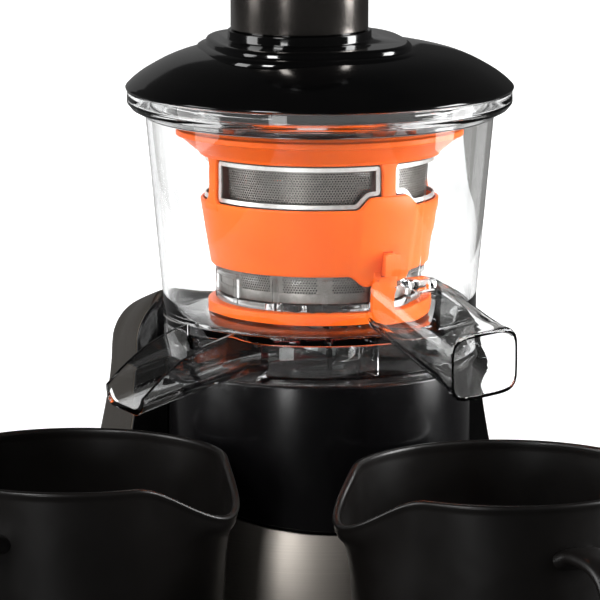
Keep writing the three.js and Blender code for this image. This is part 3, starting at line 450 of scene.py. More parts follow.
# ---------------------------------------------------------------- camera, lights, floor
def camera():
    right = np.array([math.cos(rad(-12)), math.sin(rad(-12)), 0.0])
    target = right * (-8.09) + [0, 0, 172.83]
    pos = np.array([-406.7, -1874.4, 524.8])
    c = bpy.data.cameras.new("camera")
    c.lens, c.sensor_width = 36 * 4700 / 600, 36.0
    c.clip_start, c.clip_end = 0.1, 30
    o = bpy.data.objects.new("camera", c)
    bpy.context.scene.collection.objects.link(o)
    off = np.array([AX, AY, 0])
    o.location = Vector((pos + off) * MM)
    o.rotation_mode = "QUATERNION"
    o.rotation_quaternion = Vector((target - pos) * MM).to_track_quat("-Z", "Y")
    bpy.context.scene.camera = o


def area(name, at, aim, size, power, color=(1, 1, 1), spread=math.pi):
    l = bpy.data.lights.new(name, "AREA")
    l.shape, l.size, l.size_y, l.energy, l.color, l.spread = "RECTANGLE", size[0], size[1], power, color, spread
    o = bpy.data.objects.new(name, l)
    bpy.context.scene.collection.objects.link(o)
    o.location = Vector(at)
    o.rotation_mode = "QUATERNION"
    o.rotation_quaternion = (Vector(aim) - Vector(at)).to_track_quat("-Z", "Y")
    return o


def stage():
    # floor running up into a backdrop
    pts = fil([(-3.0, 0.0), (3.0, 0.0, 1.0), (3.0, 1.5)], closed=False, seg=24)
    flat = np.linspace(-3.0, pts[1][0], 12)[:-1]
    pts = [(y, 0.0) for y in flat] + pts[1:]
    xs = np.linspace(-0.9, 0.9, 24)
    v = [(x, y, z - 0.00002) for y, z in pts for x in xs]
    f = []
    for i in range(len(pts) - 1):
        for j in range(len(xs) - 1):
            a = i * len(xs) + j
            f.append((a, a + 1, a + 1 + len(xs), a + len(xs)))
    me = bpy.data.meshes.new("floor")
    me.from_pydata(v, [], f)
    me.polygons.foreach_set("use_smooth", [True] * len(me.polygons))
    o = bpy.data.objects.new("floor", me)
    bpy.context.scene.collection.objects.link(o)
    m, nt, p = new_mat("m_floor")
    vec = coords(nt)
    nt.links.new(ramp(nt, noise(nt, vec, 3, 2), [(0.3, (0.86, 0.86, 0.86)), (0.7, (0.88, 0.88, 0.88))]), p.inputs["Base Color"])
    p.inputs["Roughness"].default_value = 0.6
    p.inputs["Emission Color"].default_value = (1, 1, 1, 1)
    p.inputs["Emission Strength"].default_value = 0.5
    # the glossy black parts mirror a dark surround
    dim = node(nt, "ShaderNodeEmission")
    geo = node(nt, "ShaderNodeNewGeometry")
    gs = node(nt, "ShaderNodeSeparateXYZ")
    nt.links.new(geo.outputs["Position"], gs.inputs["Vector"])
    nt.links.new(ramp(nt, remap(nt, gs.outputs["Y"], 0, 1, 0.25, 0.9), [(0.0, (0.03, 0.03, 0.03)), (1.0, (0.16, 0.16, 0.16))]), dim.inputs["Color"])
    lp = node(nt, "ShaderNodeLightPath")
    both = node(nt, "ShaderNodeMixShader")
    nt.links.new(lp.outputs["Is Reflection Ray"], both.inputs[0])
    nt.links.new(p.outputs[0], both.inputs[1])
    nt.links.new(dim.outputs[0], both.inputs[2])
    # seen from behind or below, the backdrop is clear
    see = node(nt, "ShaderNodeBsdfTransparent")
    face = node(nt, "ShaderNodeMixShader")
    nt.links.new(geo.outputs["Backfacing"], face.inputs[0])
    nt.links.new(both.outputs[0], face.inputs[1])
    nt.links.new(see.outputs[0], face.inputs[2])
    nt.links.new(face.outputs[0], next(q for q in nt.nodes if q.type == "OUTPUT_MATERIAL").inputs["Surface"])
    o.data.materials.append(m)
    sc = bpy.context.scene
    w = bpy.data.worlds.new("studio")
    sc.world = w
    w.use_nodes = True
    nt = w.node_tree
    bg = nt.nodes["Background"]
    # pale to the eye, dimmer and darker towards the horizon for what the glossy parts mirror
    tc = node(nt, "ShaderNodeTexCoord")
    sep = node(nt, "ShaderNodeSeparateXYZ")
    nt.links.new(tc.outputs["Generated"], sep.inputs["Vector"])
    sky = ramp(nt, remap(nt, sep.outputs["Z"], 0, 1, -0.1, 0.9), [(0.0, (0.03, 0.03, 0.03)), (0.35, (0.04, 0.04, 0.04)), (1.0, (0.015, 0.015, 0.015))])
    lp = node(nt, "ShaderNodeLightPath")
    mx = node(nt, "ShaderNodeMix")
    mx.data_type = "RGBA"
    nt.links.new(lp.outputs["Is Camera Ray"], mx.inputs["Factor"])
    ia = [q for q in mx.inputs if q.type == "RGBA"]
    nt.links.new(sky, ia[0])
    ia[1].default_value = (1.0, 1.0, 1.0, 1)
    soft = node(nt, "ShaderNodeMix")
    soft.data_type = "RGBA"
    nt.links.new(lp.outputs["Is Transmission Ray"], soft.inputs["Factor"])
    sa = [q for q in soft.inputs if q.type == "RGBA"]
    nt.links.new(sky, sa[0])
    sa[1].default_value = (0.34, 0.335, 0.325, 1)
    nt.links.new(next(q for q in soft.outputs if q.type == "RGBA"), ia[0])
    nt.links.new(next(q for q in mx.outputs if q.type == "RGBA"), bg.inputs["Color"])
    bg.inputs["Strength"].default_value = 1.0
    area("side_left", (-1.5, 0.12, 0.62), (0, 0, 0.2), (0.62, 1.3), 12)
    area("side_right", (1.5, -0.22, 0.62), (0, 0, 0.2), (0.5, 1.3), 30)
    area("key", (-1.15, -0.95, 1.5), (0, 0, 0.2), (0.45, 0.45), 12.5)
    area("front_strip", (-1.1, -1.5, 0.15), (0, 0, 0.1), (0.35, 0.4), 4)
    area("back_wash", (0.0, 1.0, 1.5), (0, 3.0, 0.4), (3.4, 0.5), 60)
    sc.view_settings.view_transform = "Standard"
    sc.view_settings.look = "None"


camera()
stage()


# ---------------------------------------------------------------- lid, tube, pusher
def build_lid():
    top = curve(
        [(0.0, 281.6), (20, 281.4), (36, 280.5), (44.8, 279.2), (56, 276.6), (64.4, 273.4), (72.7, 268.8), (77.2, 265.5), (79.7, 263.1)], 5
    )
    prof = top + [(80.0, 262.5), (79.8, 261.95), (79.2, 261.8), (76.6, 261.8), (76.0, 262.3), (64.4, 269.9), (44.8, 275.6), (20, 277.4), (0.0, 277.6)]
    lid = lathe("lid_shell", prof, 192)
    cx, cy = -5.0, -0.8
    steps = [(-0.8, 270), (-0.8, 276.4), (-0.5, 277.6), (0.1, 278.5), (1.0, 279.1), (2.2, 279.45), (2.9, 279.7), (3.2, 280.1), (3.4, 280.9), (3.9, 281.7), (4.7, 282.2), (5.8, 282.3)]
    rings = []
    for inset, z in steps:
        e = super_ellipse(44 - inset, 49.5 - inset, 2.7, 120, cx, cy)
        rings.append(np.column_stack([e, np.full(len(e), z)]))
    deck = loft("deck", rings)
    under = lathe("under", [(0, 250), (90, 250), (90, 262), (76.6, 262), (64.4, 269.6), (44.8, 275.2), (0, 277)], 96)
    boolean(deck, under)
    boolean(lid, deck, "UNION")
    # feed tube with a collar at each end, hollow right through
    tube = lathe(
        "tube",
        fil([(0, 268), (31, 268, 1), (31, 282), (29.6, 282.6, 0.6), (29.6, 286.2, 0.5), (26.6, 286.2), (26.6, 356.8), (29.4, 356.8, 0.4), (29.4, 362, 0.8), (0, 362)]),
        144,
        at=(TUBE_X, 0),
    )
    boolean(lid, tube, "UNION")
    boolean(lid, lathe("bore", [(0, 273), (24.9, 273), (24.9, 380), (0, 380)], 144, at=(TUBE_X, 0)))
    throat = lathe("throat", [(0, 250), (24.9, 250), (24.9, 274), (0, 274)], 144, at=(TUBE_X, 0))
    boolean(throat, lathe("boss_keep", [(0, 240), (9.5, 240), (9.5, 290), (0, 290)], 64))
    boolean(throat, cuboid("bridge", (30, 9, 60), (15, 0, 266)))
    boolean(lid, throat)
    boss = lathe("boss", fil([(5.35, 249.5), (8.6, 249.5, 0.6), (8.6, 270), (0, 270), (0, 259.5), (5.35, 259.5, 0.4)]), 64)
    boolean(lid, boss, "UNION")
    skirt = lathe("plug", fil([(66.4, 253.6, 0.5), (68.4, 253.6, 0.5), (68.4, 268), (66.4, 268)]), 144)
    boolean(lid, skirt, "UNION")
    for d in (-4.5, 115.5, 235.5):
        a = math_angle(d)
        lug = lathe("lug", fil([(73.2, 257.4, 0.5), (76.0, 257.4, 0.5), (76.0, 264), (73.2, 264)]), 24, a0=a - rad(22), a1=a + rad(22))
        boolean(lid, lug, "UNION")
    lid.name = lid.data.name = "lid_gloss_shell"
    piece(lid, "cover", M["lid"], "lid", slot="gloss_black")


def build_tube_parts():
    o = lathe("feed_tube_sleeve", fil([(26.9, 286.6, 0.3), (28.3, 286.6, 0.5), (28.3, 356.5, 0.5), (26.9, 356.5, 0.3)]), 160, at=(TUBE_X, 0))
    piece(o, "cover", M["sleeve"], "tube_sleeve", slot="gunmetal")
    o = lathe(
        "pusher_barrel",
        fil([(0, 276), (24.4, 276, 1.4), (24.4, 361.6), (22.2, 361.6), (22.2, 279, 1), (0, 279)]),
        120,
        at=(TUBE_X, 0),
    )
    for k in range(4):  # shallow flutes down the barrel
        a = math.pi / 4 + k * math.pi / 2
        f = lathe("flute", [(0, 270), (1.4, 270), (1.4, 358), (0, 358)], 16, at=(TUBE_X + 24.9 * math.cos(a), 24.9 * math.sin(a)))
        boolean(o, f)
    piece(o, "pusher", M["satin"], "pusher_body", slot="satin_black")
    z = Z_TUBE_TOP
    o = lathe(
        "pusher_top",
        fil([(0, z + 2.3), (21.9, z + 2.3), (21.9, z - 2, 0.3), (21.0, z - 2, 0.3), (21.0, z + 2.3), (30.8, z + 2.3, 0.8), (31.2, z + 4.2, 0.6), (31.2, z + 8.6, 2.2), (29.4, z + 11.2, 1.6), (24.0, z + 11.9, 0.5), (23.2, z + 11.2, 0.4), (22.4, z + 11.9, 0.5), (0, z + 12.8)]),
        160,
        at=(TUBE_X, 0),
    )
    piece(o, "pusher", M["gloss"], "pusher_cap", slot="gloss_black")
    o = lathe("lid_sealing_ring", fil([(68.8, 258.3, 0.6), (71.2, 258.3, 0.6), (71.2, 261.2, 0.6), (70.2, 260.4, 0.3), (68.8, 261.2, 0.6)]), 144)
    piece(o, "cover", M["rubber"], "lid_seal", slot="rubber")


# ---------------------------------------------------------------- clear bowl with spout and chute
def spout_ring(s, z, w, h, n=5.0, count=48):
    jd, root = dir_of(JUICE_DIR), dir_of(JUICE_ROOT) * 62.5
    p = root + jd * s
    across = np.array([-jd[1], jd[0]])
    e = super_ellipse(w / 2, h / 2, n, count)
    return np.column_stack([p[0] + across[0] * e[:, 0], p[1] + across[1] * e[:, 0], z + e[:, 1]])


def spout_z(s):
    return 181 - 19 / 42 * s


def chute_ring(s, top, bot, w, r=8.0, lip=0.0, n=10):
    pd, root = dir_of(PULP_DIR), dir_of(PULP_ROOT) * 61
    p = root + pd * s
    r = min(r, top - bot - 0.6)
    across = np.array([-pd[1], pd[0]])
    uv = [(-w / 2, top)]
    for i in range(n + 1):
        a = math.pi + i / n * math.pi / 2
        uv.append((-w / 2 + r + r * math.cos(a), bot + r + r * math.sin(a)))
    for i in range(n + 1):
        a = 1.5 * math.pi + i / n * math.pi / 2
        uv.append((w / 2 - r + r * math.cos(a), bot + r + r * math.sin(a)))
    uv.append((w / 2, top))
    return np.array([[p[0] + across[0] * u, p[1] + across[1] * u, v] for u, v in uv])


CH = [(-42, 164.9, 154.0), (-6, 164.9, 152.4), (4, 171, 150.2), (16, 167.5, 147.4), (28, 162, 144.6), (38, 154.5, 142.0), (45, 147.8, 140.0)]


def chute_at(s):
    xs = [c[0] for c in CH]
    return float(np.interp(s, xs, [c[1] for c in CH])), float(np.interp(s, xs, [c[2] for c in CH]))


def build_bowl():
    wall = [(62.4, 171, 0), (62.8, 177), (69.1, 252), (69.2, 258.0, 0.4), (71.6, 258.0, 0.4), (71.8, 255.2, 0.6), (76.9, 257.0, 0.8), (77.0, 261.5, 0.25), (79.3, 261.5, 0.5), (79.4, 256.4, 1.2), (77.6, 254.2, 0.8), (71.8, 251.2, 1.0), (65.0, 177.0, 8), (64.8, 149.4, 0.5), (60.2, 149.4, 0.3), (60.0, 141.7, 0.3), (58.0, 141.7, 0.3), (58.0, 151.0, 0.6), (62.2, 152.5, 0.6), (62.2, 165.4, 0.8), (12.4, 165.4, 0.3), (12.4, 168.0, 0.3), (60.4, 168.0, 2.0)]
    bowl = lathe("bowl", fil(wall, seg=5), 192)
    # juice outlet through the wall
    S = [-24, -8, 0, 8, 16, 24, 32, 38, 41.2, 42.2, 43.0]
    grow = lambda s: 0 if s < 34 else 1.4 * (s - 34) / 6 if s < 40 else 2.4
    inner = loft("spout_in", [spout_ring(s, spout_z(s), 31.4 + 3.0 * min(1, max(0, s) / 30) + grow(s) * 1.25, 20.6 + grow(s) * 1.25) for s in [-22, 0, 12, 24, 34, 40, 52]])
    hole = inner.copy()
    hole.data = inner.data.copy()
    bpy.context.scene.collection.objects.link(hole)
    boolean(hole, lathe("above", [(0, 168.02), (90, 168.02), (90, 240), (0, 240)], 64), "INTERSECT")
    boolean(bowl, hole)
    # chute passes the skirt under the floor
    def run(ss, dt, db, w):
        return [chute_ring(s, chute_at(s)[0] + dt, chute_at(s)[1] + db, w) for s in ss]

    gap = loft("chute_gap", run([-44, -30, -6, 4, 16, 28], 1.4, -4.0, 36.4))
    boolean(gap, lathe("band", [(0, 148), (67, 148), (67, 165.3), (0, 165.3)], 96), "INTERSECT")
    boolean(bowl, gap)
    hole = dir_of(-35) * 29
    boolean(bowl, lathe("pulp_hole", [(0, 160), (6.6, 160), (6.6, 172), (0, 172)], 48, at=hole))
    drop_bits(bowl)
    # spout
    spout = loft("spout", [spout_ring(s, spout_z(s), 34.6 + 3.0 * min(1, max(0, s) / 30) + grow(s), 24 + grow(s)) for s in S[1:]])
    boolean(spout, inner)
    cone = lathe("inside", [(0, 150), (63.6, 150), (63.8, 177), (70.1, 250), (0, 250)], 160)
    boolean(spout, cone, keep=True)
    drop_bits(spout)
    soften(spout, 0.5, 3, 40)
    boolean(bowl, spout, "UNION")
    # hinge block of the spout's stop on top of the tube
    jd = dir_of(JUICE_DIR)
    a = math.atan2(jd[1], jd[0])
    root = dir_of(JUICE_ROOT) * 62.5
    for s, w, l, h, zz in ((7.5, 13, 10, 4.4, 12.6),):
        p = root + jd * s
        rot = Matrix.Rotation(-a, 2)
        q = rot @ Vector(p)
        blk = cuboid("blk", (l, w, h), (q[0], q[1], spout_z(s) + zz), a, 1.2)
        boolean(bowl, blk, "UNION")
    # chute: trough with a scooped end
    fine = [-42, -30, -18, -6, -1, 4, 8, 12, 16, 20, 24, 28, 32, 36, 39, 42, 44, 45]
    chute = loft("chute", run(fine, 0, 0, 36))
    boolean(chute, loft("chute_in", run([-46] + fine[1:-1] + [49], 14, 2.0, 32)))
    under = lathe("floor_clear", [(0, 164.98), (65.35, 164.98), (65.35, 220), (0, 220)], 160)
    boolean(chute, under)
    boolean(chute, lathe("hub_clear", [(0, 140), (19.4, 140), (19.4, 175), (0, 175)], 48))
    drop_bits(chute)
    soften(chute, 0.45, 3, 40)
    bpy.data.objects.remove(cone)
    # webs under the floor
    for d, l0, l1 in ((-8, 20, 60), (10, 44, 61.5), (60, 20, 60), (150, 20, 60), (235, 20, 60)):
        a2 = math_angle(d)
        web = cuboid("web", (l1 - l0, 1.8, 13.6), ((l0 + l1) / 2, 0, 158.9), a2, 0.4)
        boolean(bowl, web, "UNION")
    boolean(bowl, lathe("collar", fil([(17, 151.5, 0.4), (19, 151.5, 0.4), (19, 166), (17, 166)]), 64), "UNION")
    drop_bits(bowl)
    bowl.name = bowl.data.name = "clear_bowl_and_spout"
    piece(bowl, "bowl", M["clear"], "juicing_bowl", "juice_spout", slot="clear_plastic")
    chute.name = chute.data.name = "clear_pulp_chute"
    piece(chute, "bowl", M["clear"], "pulp_chute", slot="clear_plastic")
    o = lathe("neck_seal_ring", fil([(9.0, 163.2, 0.4), (12.1, 163.2, 0.4), (12.1, 168.3), (13.8, 168.3, 0.2), (13.8, 168.95, 0.2), (9.0, 168.95, 0.3)]), 64)
    piece(o, "bowl", M["red"], "floor_seal", slot="red_silicone")
    o = lathe("pulp_outlet_packing", fil([(6.6, 162.8, 0.3), (8.4, 162.8, 0.5), (8.4, 165.1, 0.5), (6.6, 165.1, 0.3)]), 64, at=hole)
    piece(o, "bowl", M["red"], "pulp_outlet_seal", slot="red_silicone")


# ---------------------------------------------------------------- strainer
def r_mesh(z):
    return 41.3 + 3.7 * (z - 176) / 64


def build_strainer():
    # perforated sheet: one ring of quads per hexagonal cell, plain borders by the posts and the rims
    z0, z1 = 179.0, 240.0
    nx = 232
    pitch = 2 * math.pi / nx
    du = 2 * math.pi * 43.2 / nx
    dz = du * math.sqrt(3) / 2
    rows = int((z1 - z0 - 6) / dz)
    zs0 = z0 + 3.0
    bars = [math_angle(d) for d in POSTS]

    def plain(a, z):
        if z < z0 + 3.6 or z > z1 - 4.6:
            return True
        for b in bars:
            d = (a - b + math.pi) % (2 * math.pi) - math.pi
            if abs(d) * 44 < 6.6:
                return True
        if z < 190.5:
            q = (a - 0.2) % (2 * math.pi / 13)
            if min(q, 2 * math.pi / 13 - q) * 43 < 3.0:
                return True
        return abs(z - 217.8) < 1.6
    V, F, ids, use = [], [], {}, {}

    def pt(a, z, t):
        r = r_mesh(z) - t
        return (r * math.cos(a), r * math.sin(a), z)

    def corner(a, z):
        """index of a cell corner on the outer face; the next index is its partner on the inner face"""
        k = (round(((a + 0.0123) % (2 * math.pi)) * 43.2 / 0.02 + 0.137), round(z / 0.02 + 0.137))
        if k not in ids:
            ids[k] = len(V)
            V.extend([pt(a, z, 0.0), pt(a, z, 0.5)])
        return ids[k]

    hexa = [(math.cos(math.pi / 6 + k * math.pi / 3), math.sin(math.pi / 6 + k * math.pi / 3)) for k in range(6)]
    R = du / math.sqrt(3)
    for j in range(rows):
        for i in range(nx):
            a = (i + 0.5 * (j % 2)) * pitch
            z = zs0 + R + j * dz
            cell = [(a + hx * R / 43.2, z + hz * R) for hx, hz in hexa]
            c = [corner(*q) for q in cell]
            for k in range(6):
                e = (c[k], c[(k + 1) % 6])
                use[e if e[0] < e[1] else e[::-1]] = use.get(e if e[0] < e[1] else e[::-1], 0) + 1
            if plain(a, z):
                F.append(list(c))
                F.append([q + 1 for q in reversed(c)])
            else:
                o0 = len(V)
                for t in (0.0, 0.5):
                    V.extend([pt(a + (ca - a) * 0.62, z + (cz - z) * 0.62, t) for ca, cz in cell])
                for k in range(6):
                    k2 = (k + 1) % 6
                    F.append((c[k], c[k2], o0 + k2, o0 + k))
                    F.append((c[k2] + 1, c[k] + 1, o0 + 6 + k, o0 + 6 + k2))
                    F.append((o0 + k, o0 + k2, o0 + 6 + k2, o0 + 6 + k))
    # zigzag rims between the two faces
    for (e0, e1), n in use.items():
        if n == 1:
            F.append((e0, e1, e1 + 1, e0 + 1))
    me = bpy.data.meshes.new("strainer_sheet")
    v = (np.asarray(V, float) + [AX, AY, 0]) * MM
    me.from_pydata([tuple(p) for p in v], [], F)
    o = bpy.data.objects.new("strainer_sheet", me)
    bpy.context.scene.collection.objects.link(o)
    bm = bmesh.new()
    bm.from_mesh(me)
    bmesh.ops.recalc_face_normals(bm, faces=bm.faces)
    bm.to_mesh(me)
    bm.free()
    me.polygons.foreach_set("use_smooth", [True] * len(me.polygons))
    me.set_sharp_from_angle(angle=rad(40))
    piece(o, "bowl", M["mesh"], "strainer_mesh", slot="brushed_steel")
    # rim bands folded over the zigzag edges
    zt = zs0 + R + (rows - 1) * dz
    for nm, a, b in (("strainer_rim_low", z0, zs0 + R + 0.6), ("strainer_rim_top", zt - 0.4, z1)):
        p = [(r_mesh(a) - 0.6, a, 0.15), (r_mesh(a) + 0.12, a, 0.2), (r_mesh(b) + 0.12, b, 0.2), (r_mesh(b) - 0.6, b, 0.15)]
        piece(lathe(nm, fil(p), 160), "bowl", M["mesh"], slot="brushed_steel")
    # clear floor, ribs and feet
    fr = lathe("floor", fil([(17.6, 175.6, 0.3), (42.6, 175.6, 0.4), (43.1, 178.7, 0.3), (17.6, 178.7, 0.3)]), 144)
    boolean(fr, lathe("band", fil([(r_mesh(189) + 0.3, 186.6, 0.2), (43.1, 186.6, 0.2), (43.1, 189, 0.2), (r_mesh(189) + 0.3, 189, 0.2)]), 144), "UNION")
    for i in range(13):
        a = i * 2 * math.pi / 13 + 0.2
        rib = cuboid("rib", (1.2, 2.6, 12), (42.7, 0, 182.6), a, 0.3)
        boolean(fr, rib, "UNION")
    for d in (10, 90, 175):
        q = dir_of(d) * 27
        boolean(fr, lathe("foot", fil([(0, 168.35), (3, 168.35, 0.4), (3, 176.5), (0, 176.5)]), 24, at=q), "UNION")
    q = dir_of(-35) * 29
    boolean(fr, lathe("duct", [(0, 168.35), (7.6, 168.35), (7.6, 176.5), (0, 176.5)], 48, at=q), "UNION")
    boolean(fr, lathe("ductbore", [(0, 160), (6.6, 160), (6.6, 184), (0, 184)], 48, at=q))
    fr.name = fr.data.name = "strainer_clear_cage"
    piece(fr, "bowl", M["frost"], "strainer_frame", slot="clear_plastic")
    o = lathe("strainer_clear_rim", fil([(r_mesh(241) + 0.3, 238, 0.2), (46.4, 238, 0.5), (46.4, 244.5, 0.8), (43.9, 244.5, 0.5), (43.9, 240.4, 0.2), (r_mesh(241) + 0.3, 240.4, 0.1)]), 144)
    piece(o, "bowl", M["frost"], "strainer_top_ring", slot="clear_plastic")
    o = lathe("idler_axle", fil([(0, 168.3), (2.5, 168.3), (2.5, 175, 0.4), (0, 175)]), 32, at=(27 * math.cos(rad(140)), 27 * math.sin(rad(140))))
    piece(o, "bowl", M["metal"], "idler_pin", slot="machine_steel")


# ---------------------------------------------------------------- wiper
def r_band(z):
    return 44.9 + 4.3 * (z - 190.5) / 28


def build_wiper():
    R0 = 47.0
    circ = 2 * math.pi * R0
    cuts = sorted((math_angle(d) % (2 * math.pi)) for d in POSTS)
    bumps = [math_angle(d) % (2 * math.pi) for d in BUMPS]
    # seam opposite the first window
    seam = cuts[0] - 0.35
    posts_u = sorted(((c - seam) % (2 * math.pi)) * R0 for c in cuts)
    bumps_u = [((b - seam) % (2 * math.pi)) * R0 for b in bumps]

    def near_bump(u):
        d = min(abs((u - b + circ / 2) % circ - circ / 2) for b in bumps_u)
        return d

    def low(u):  # lower edge of the band, swelling under the bumps
        d = near_bump(u)
        w = max(0.0, 1 - (max(0.0, d - 9.0) / 8.0))
        w = w * w * (3 - 2 * w)
        return 190.5 - 4.6 * w

    def high(u):
        d = near_bump(u)
        w = max(0.0, 1 - (max(0.0, d - 8.0) / 7.0))
        w = w * w * (3 - 2 * w)
        return 218.6 + 5.0 * w

    def place(u, z, t):
        a = seam + u / R0
        d = near_bump(u)
        w = max(0.0, 1 - (max(0.0, d - 12.0) / 5.0))
        w = w * w * (3 - 2 * w)
        if z <= 219.5:
            r = r_band(z)
        else:
            r = 49.35 - 0.9 * min(1.0, (z - 219.5) / 6)
        r += 0.85 * w if z < 224 else 0.0
        r -= t * (1.9 + 0.5 * w)
        return (r * math.cos(a), r * math.sin(a), z)

    # band alone: region without holes, meets itself at the seam
    zsteps = 14
    ncol = 300
    ucol = np.linspace(0, circ, ncol, endpoint=False)
    rings = []
    for u in ucol:
        zl, zh = low(u), high(u)
        prof = []
        zz = np.linspace(zl, zh, zsteps)
        e = 0.75
        # outside going up, rounded at both edges, inside going down
        def rr(z, t):
            p = place(u, z, t)
            return (math.hypot(p[0], p[1]), z)
        prof += [rr(zl + 0.0, 0.5), rr(zl + 0.12, 0.22), rr(zl + 0.5, 0.04)]
        prof += [rr(z, 0.0) for z in np.linspace(zl + 1.0, zh - 1.0, zsteps)]
        prof += [rr(zh - 0.5, 0.04), rr(zh - 0.12, 0.22), rr(zh, 0.5), rr(zh - 0.12, 0.8), rr(zh - 0.5, 0.96)]
        prof += [rr(z, 1.0) for z in np.linspace(zh - 1.0, zl + 1.0, 6)]
        prof += [rr(zl + 0.5, 0.96), rr(zl + 0.12, 0.8)]
        a = seam + u / R0
        rings.append([(p[0] * math.cos(a), p[0] * math.sin(a), p[1]) for p in prof])
    band = loft("band", rings, cap=False, loop=True, smooth=50)
    # posts flare into the band and the ring
    for b in posts_u:
        a = seam + b / R0
        rings = []
        for z in np.linspace(215.5, 239.0, 18):
            hw = 3.3 + 2.6 * max(0, 1 - (z - 218.3) / 3.0) ** 2 * (z >= 218.3) + 2.6 * (z < 218.3) + 2.2 * max(0, (z - 233) / 5.5) ** 2
            ro = 49.1 - 0.7 * min(1, (z - 215.5) / 8)
            ri = ro - 1.7
            pts = fil([(ri, -hw, 0.4), (ro, -hw, 0.6), (ro, hw, 0.6), (ri, hw, 0.4)], seg=3)
            rings.append([(x * math.cos(a) - y * math.sin(a), x * math.sin(a) + y * math.cos(a), z) for x, y in pts])
        boolean(band, loft("post", rings, smooth=50), "UNION", smooth=45)
    ring = lathe(
        "ring",
        fil(
            [(46.9, 237.0, 0.4), (49.2, 237.0, 0.6), (50.0, 238.4, 2.0), (57.3, 244.6, 2.0), (59.0, 245.0, 0.5), (59.0, 247.4, 0.6), (56.8, 247.8, 0.5), (56.4, 249, 0.5), (54.4, 249, 0.5), (54.2, 246.4, 1.0), (48.6, 240.6, 1.2)],
            seg=4,
        ),
        180,
        smooth=45,
    )
    boolean(band, ring, "UNION", smooth=45)
    # legs and ring gear
    for b in bumps_u:
        a = seam + b / R0
        leg = cuboid("leg", (2.0, 12, 22), (45.0, 0, 181.0), a, 0.5)
        boolean(band, leg, "UNION", smooth=45)
        slot = cuboid("slot", (12, 5, 10.6), (46, 0, 194.9), a)
        boolean(band, slot, smooth=45)
    gr = lathe("gearring", fil([(30, 169), (46, 169, 0.5), (46, 175.2, 0.5), (30, 175.2)]), 144)
    teeth = gear_outline(39, 2.0, internal=True)
    tool = loft("teeth", [[(x, y, z) for x, y in teeth] for z in (160, 180)])
    boolean(gr, tool, smooth=30)
    boolean(band, gr, "UNION", smooth=45)
    drop_bits(band)
    band.name = band.data.name = "wiper_orange_cage"
    piece(band, "wiper", M["orange"], "wiper_frame", slot="orange_plastic")
    # pale lining round each window, following the step over the bumps
    for i in range(len(posts_u)):
        ua, ub = posts_u[i] + 3.9, posts_u[(i + 1) % len(posts_u)] - 3.9
        if ub < ua:
            ub += circ
        low_pts = [(u, high(u % circ) + 0.5) for u in np.linspace(ua, ub, 90)]
        loop = fil([(ua, 236.2, 1.6), (ua, low_pts[0][1], 1.6)] + low_pts[4:-4] + [(ub, low_pts[-1][1], 1.6), (ub, 236.2, 1.6)] + [(u, 236.2) for u in np.linspace(ub - 3, ua + 3, 60)])
        rings = []
        for k, (u, z) in enumerate(loop):
            (u0, z0), (u1, z1) = loop[k - 1], loop[(k + 1) % len(loop)]
            d = math.hypot(u1 - u0, z1 - z0) or 1.0
            nu, nz = -(z1 - z0) / d, (u1 - u0) / d
            ring4 = []
            for off, r in ((0, 46.5), (0, 47.3), (1.7, 47.1), (1.7, 46.5)):
                a = seam + (u + nu * off) / R0
                ring4.append((r * math.cos(a), r * math.sin(a), z + nz * off))
            rings.append(ring4)
        o = loft("wiper_window_lining_%d" % (i + 1), rings, cap=False, loop=True, smooth=35)
        piece(o, "wiper", M["lining"], slot="orange_plastic")
    for i, d in enumerate(BUMPS):
        a = math_angle(d)
        o = cuboid("blade", (5.2, 4.4, 9.8), (46.9, 0, 194.9), a, 0.5)
        boolean(o, cuboid("lip", (1.2, 8.0, 9.0), (50.35, 0, 194.9), a, 0.4), "UNION")
        o.name = o.data.name = "wiper_silicone_" + ("rear" if i else "front")
        piece(o, "wiper", M["orange"], "wiper_blade_rear" if i else "wiper_blade_front", slot="red_silicone")


def gear_outline(teeth, m, internal=False, backlash=0.34, add=0.75, ded=1.1):
    rp, pa = m * teeth / 2, rad(20)
    rb = rp * math.cos(pa)
    inv = lambda a: math.tan(a) - a
    half, slack = math.pi / (2 * teeth), backlash / 2 / rp

    def at(r):
        rr = max(r, rb)
        a = math.acos(rb / rr)
        if internal:
            return math.pi / teeth - (half + slack + inv(pa) - inv(a))
        return max(half - slack - inv(a) + inv(pa), 0.12 / rr)

    tip = rp - add * m if internal else rp + add * m
    root = rp + ded * m if internal else rp - ded * m
    radii = np.linspace(root if internal else max(root, rb), tip, 4)
    out = []
    for k in range(teeth):
        c = 2 * math.pi * k / teeth
        if not internal:
            out.append((root, c - at(radii[0]) - 0.01))
        out += [(r, c - at(r)) for r in radii] + [(r, c + at(r)) for r in radii[::-1]]
        if not internal:
            out.append((root, c + at(radii[0]) + 0.01))
    return [(r * math.cos(a), r * math.sin(a)) for r, a in out]


# ---------------------------------------------------------------- body
def smooth01(t):
    u = min(1.0, max(0.0, t))
    return u * u * (3 - 2 * u)


def half_width(z):
    return 73.5 + 9.5 * smooth01((142 - z) / 75)


def rear_y(z):
    return 106 + 5 * smooth01((150 - z) / 90)


Y_FRONT = 18.0


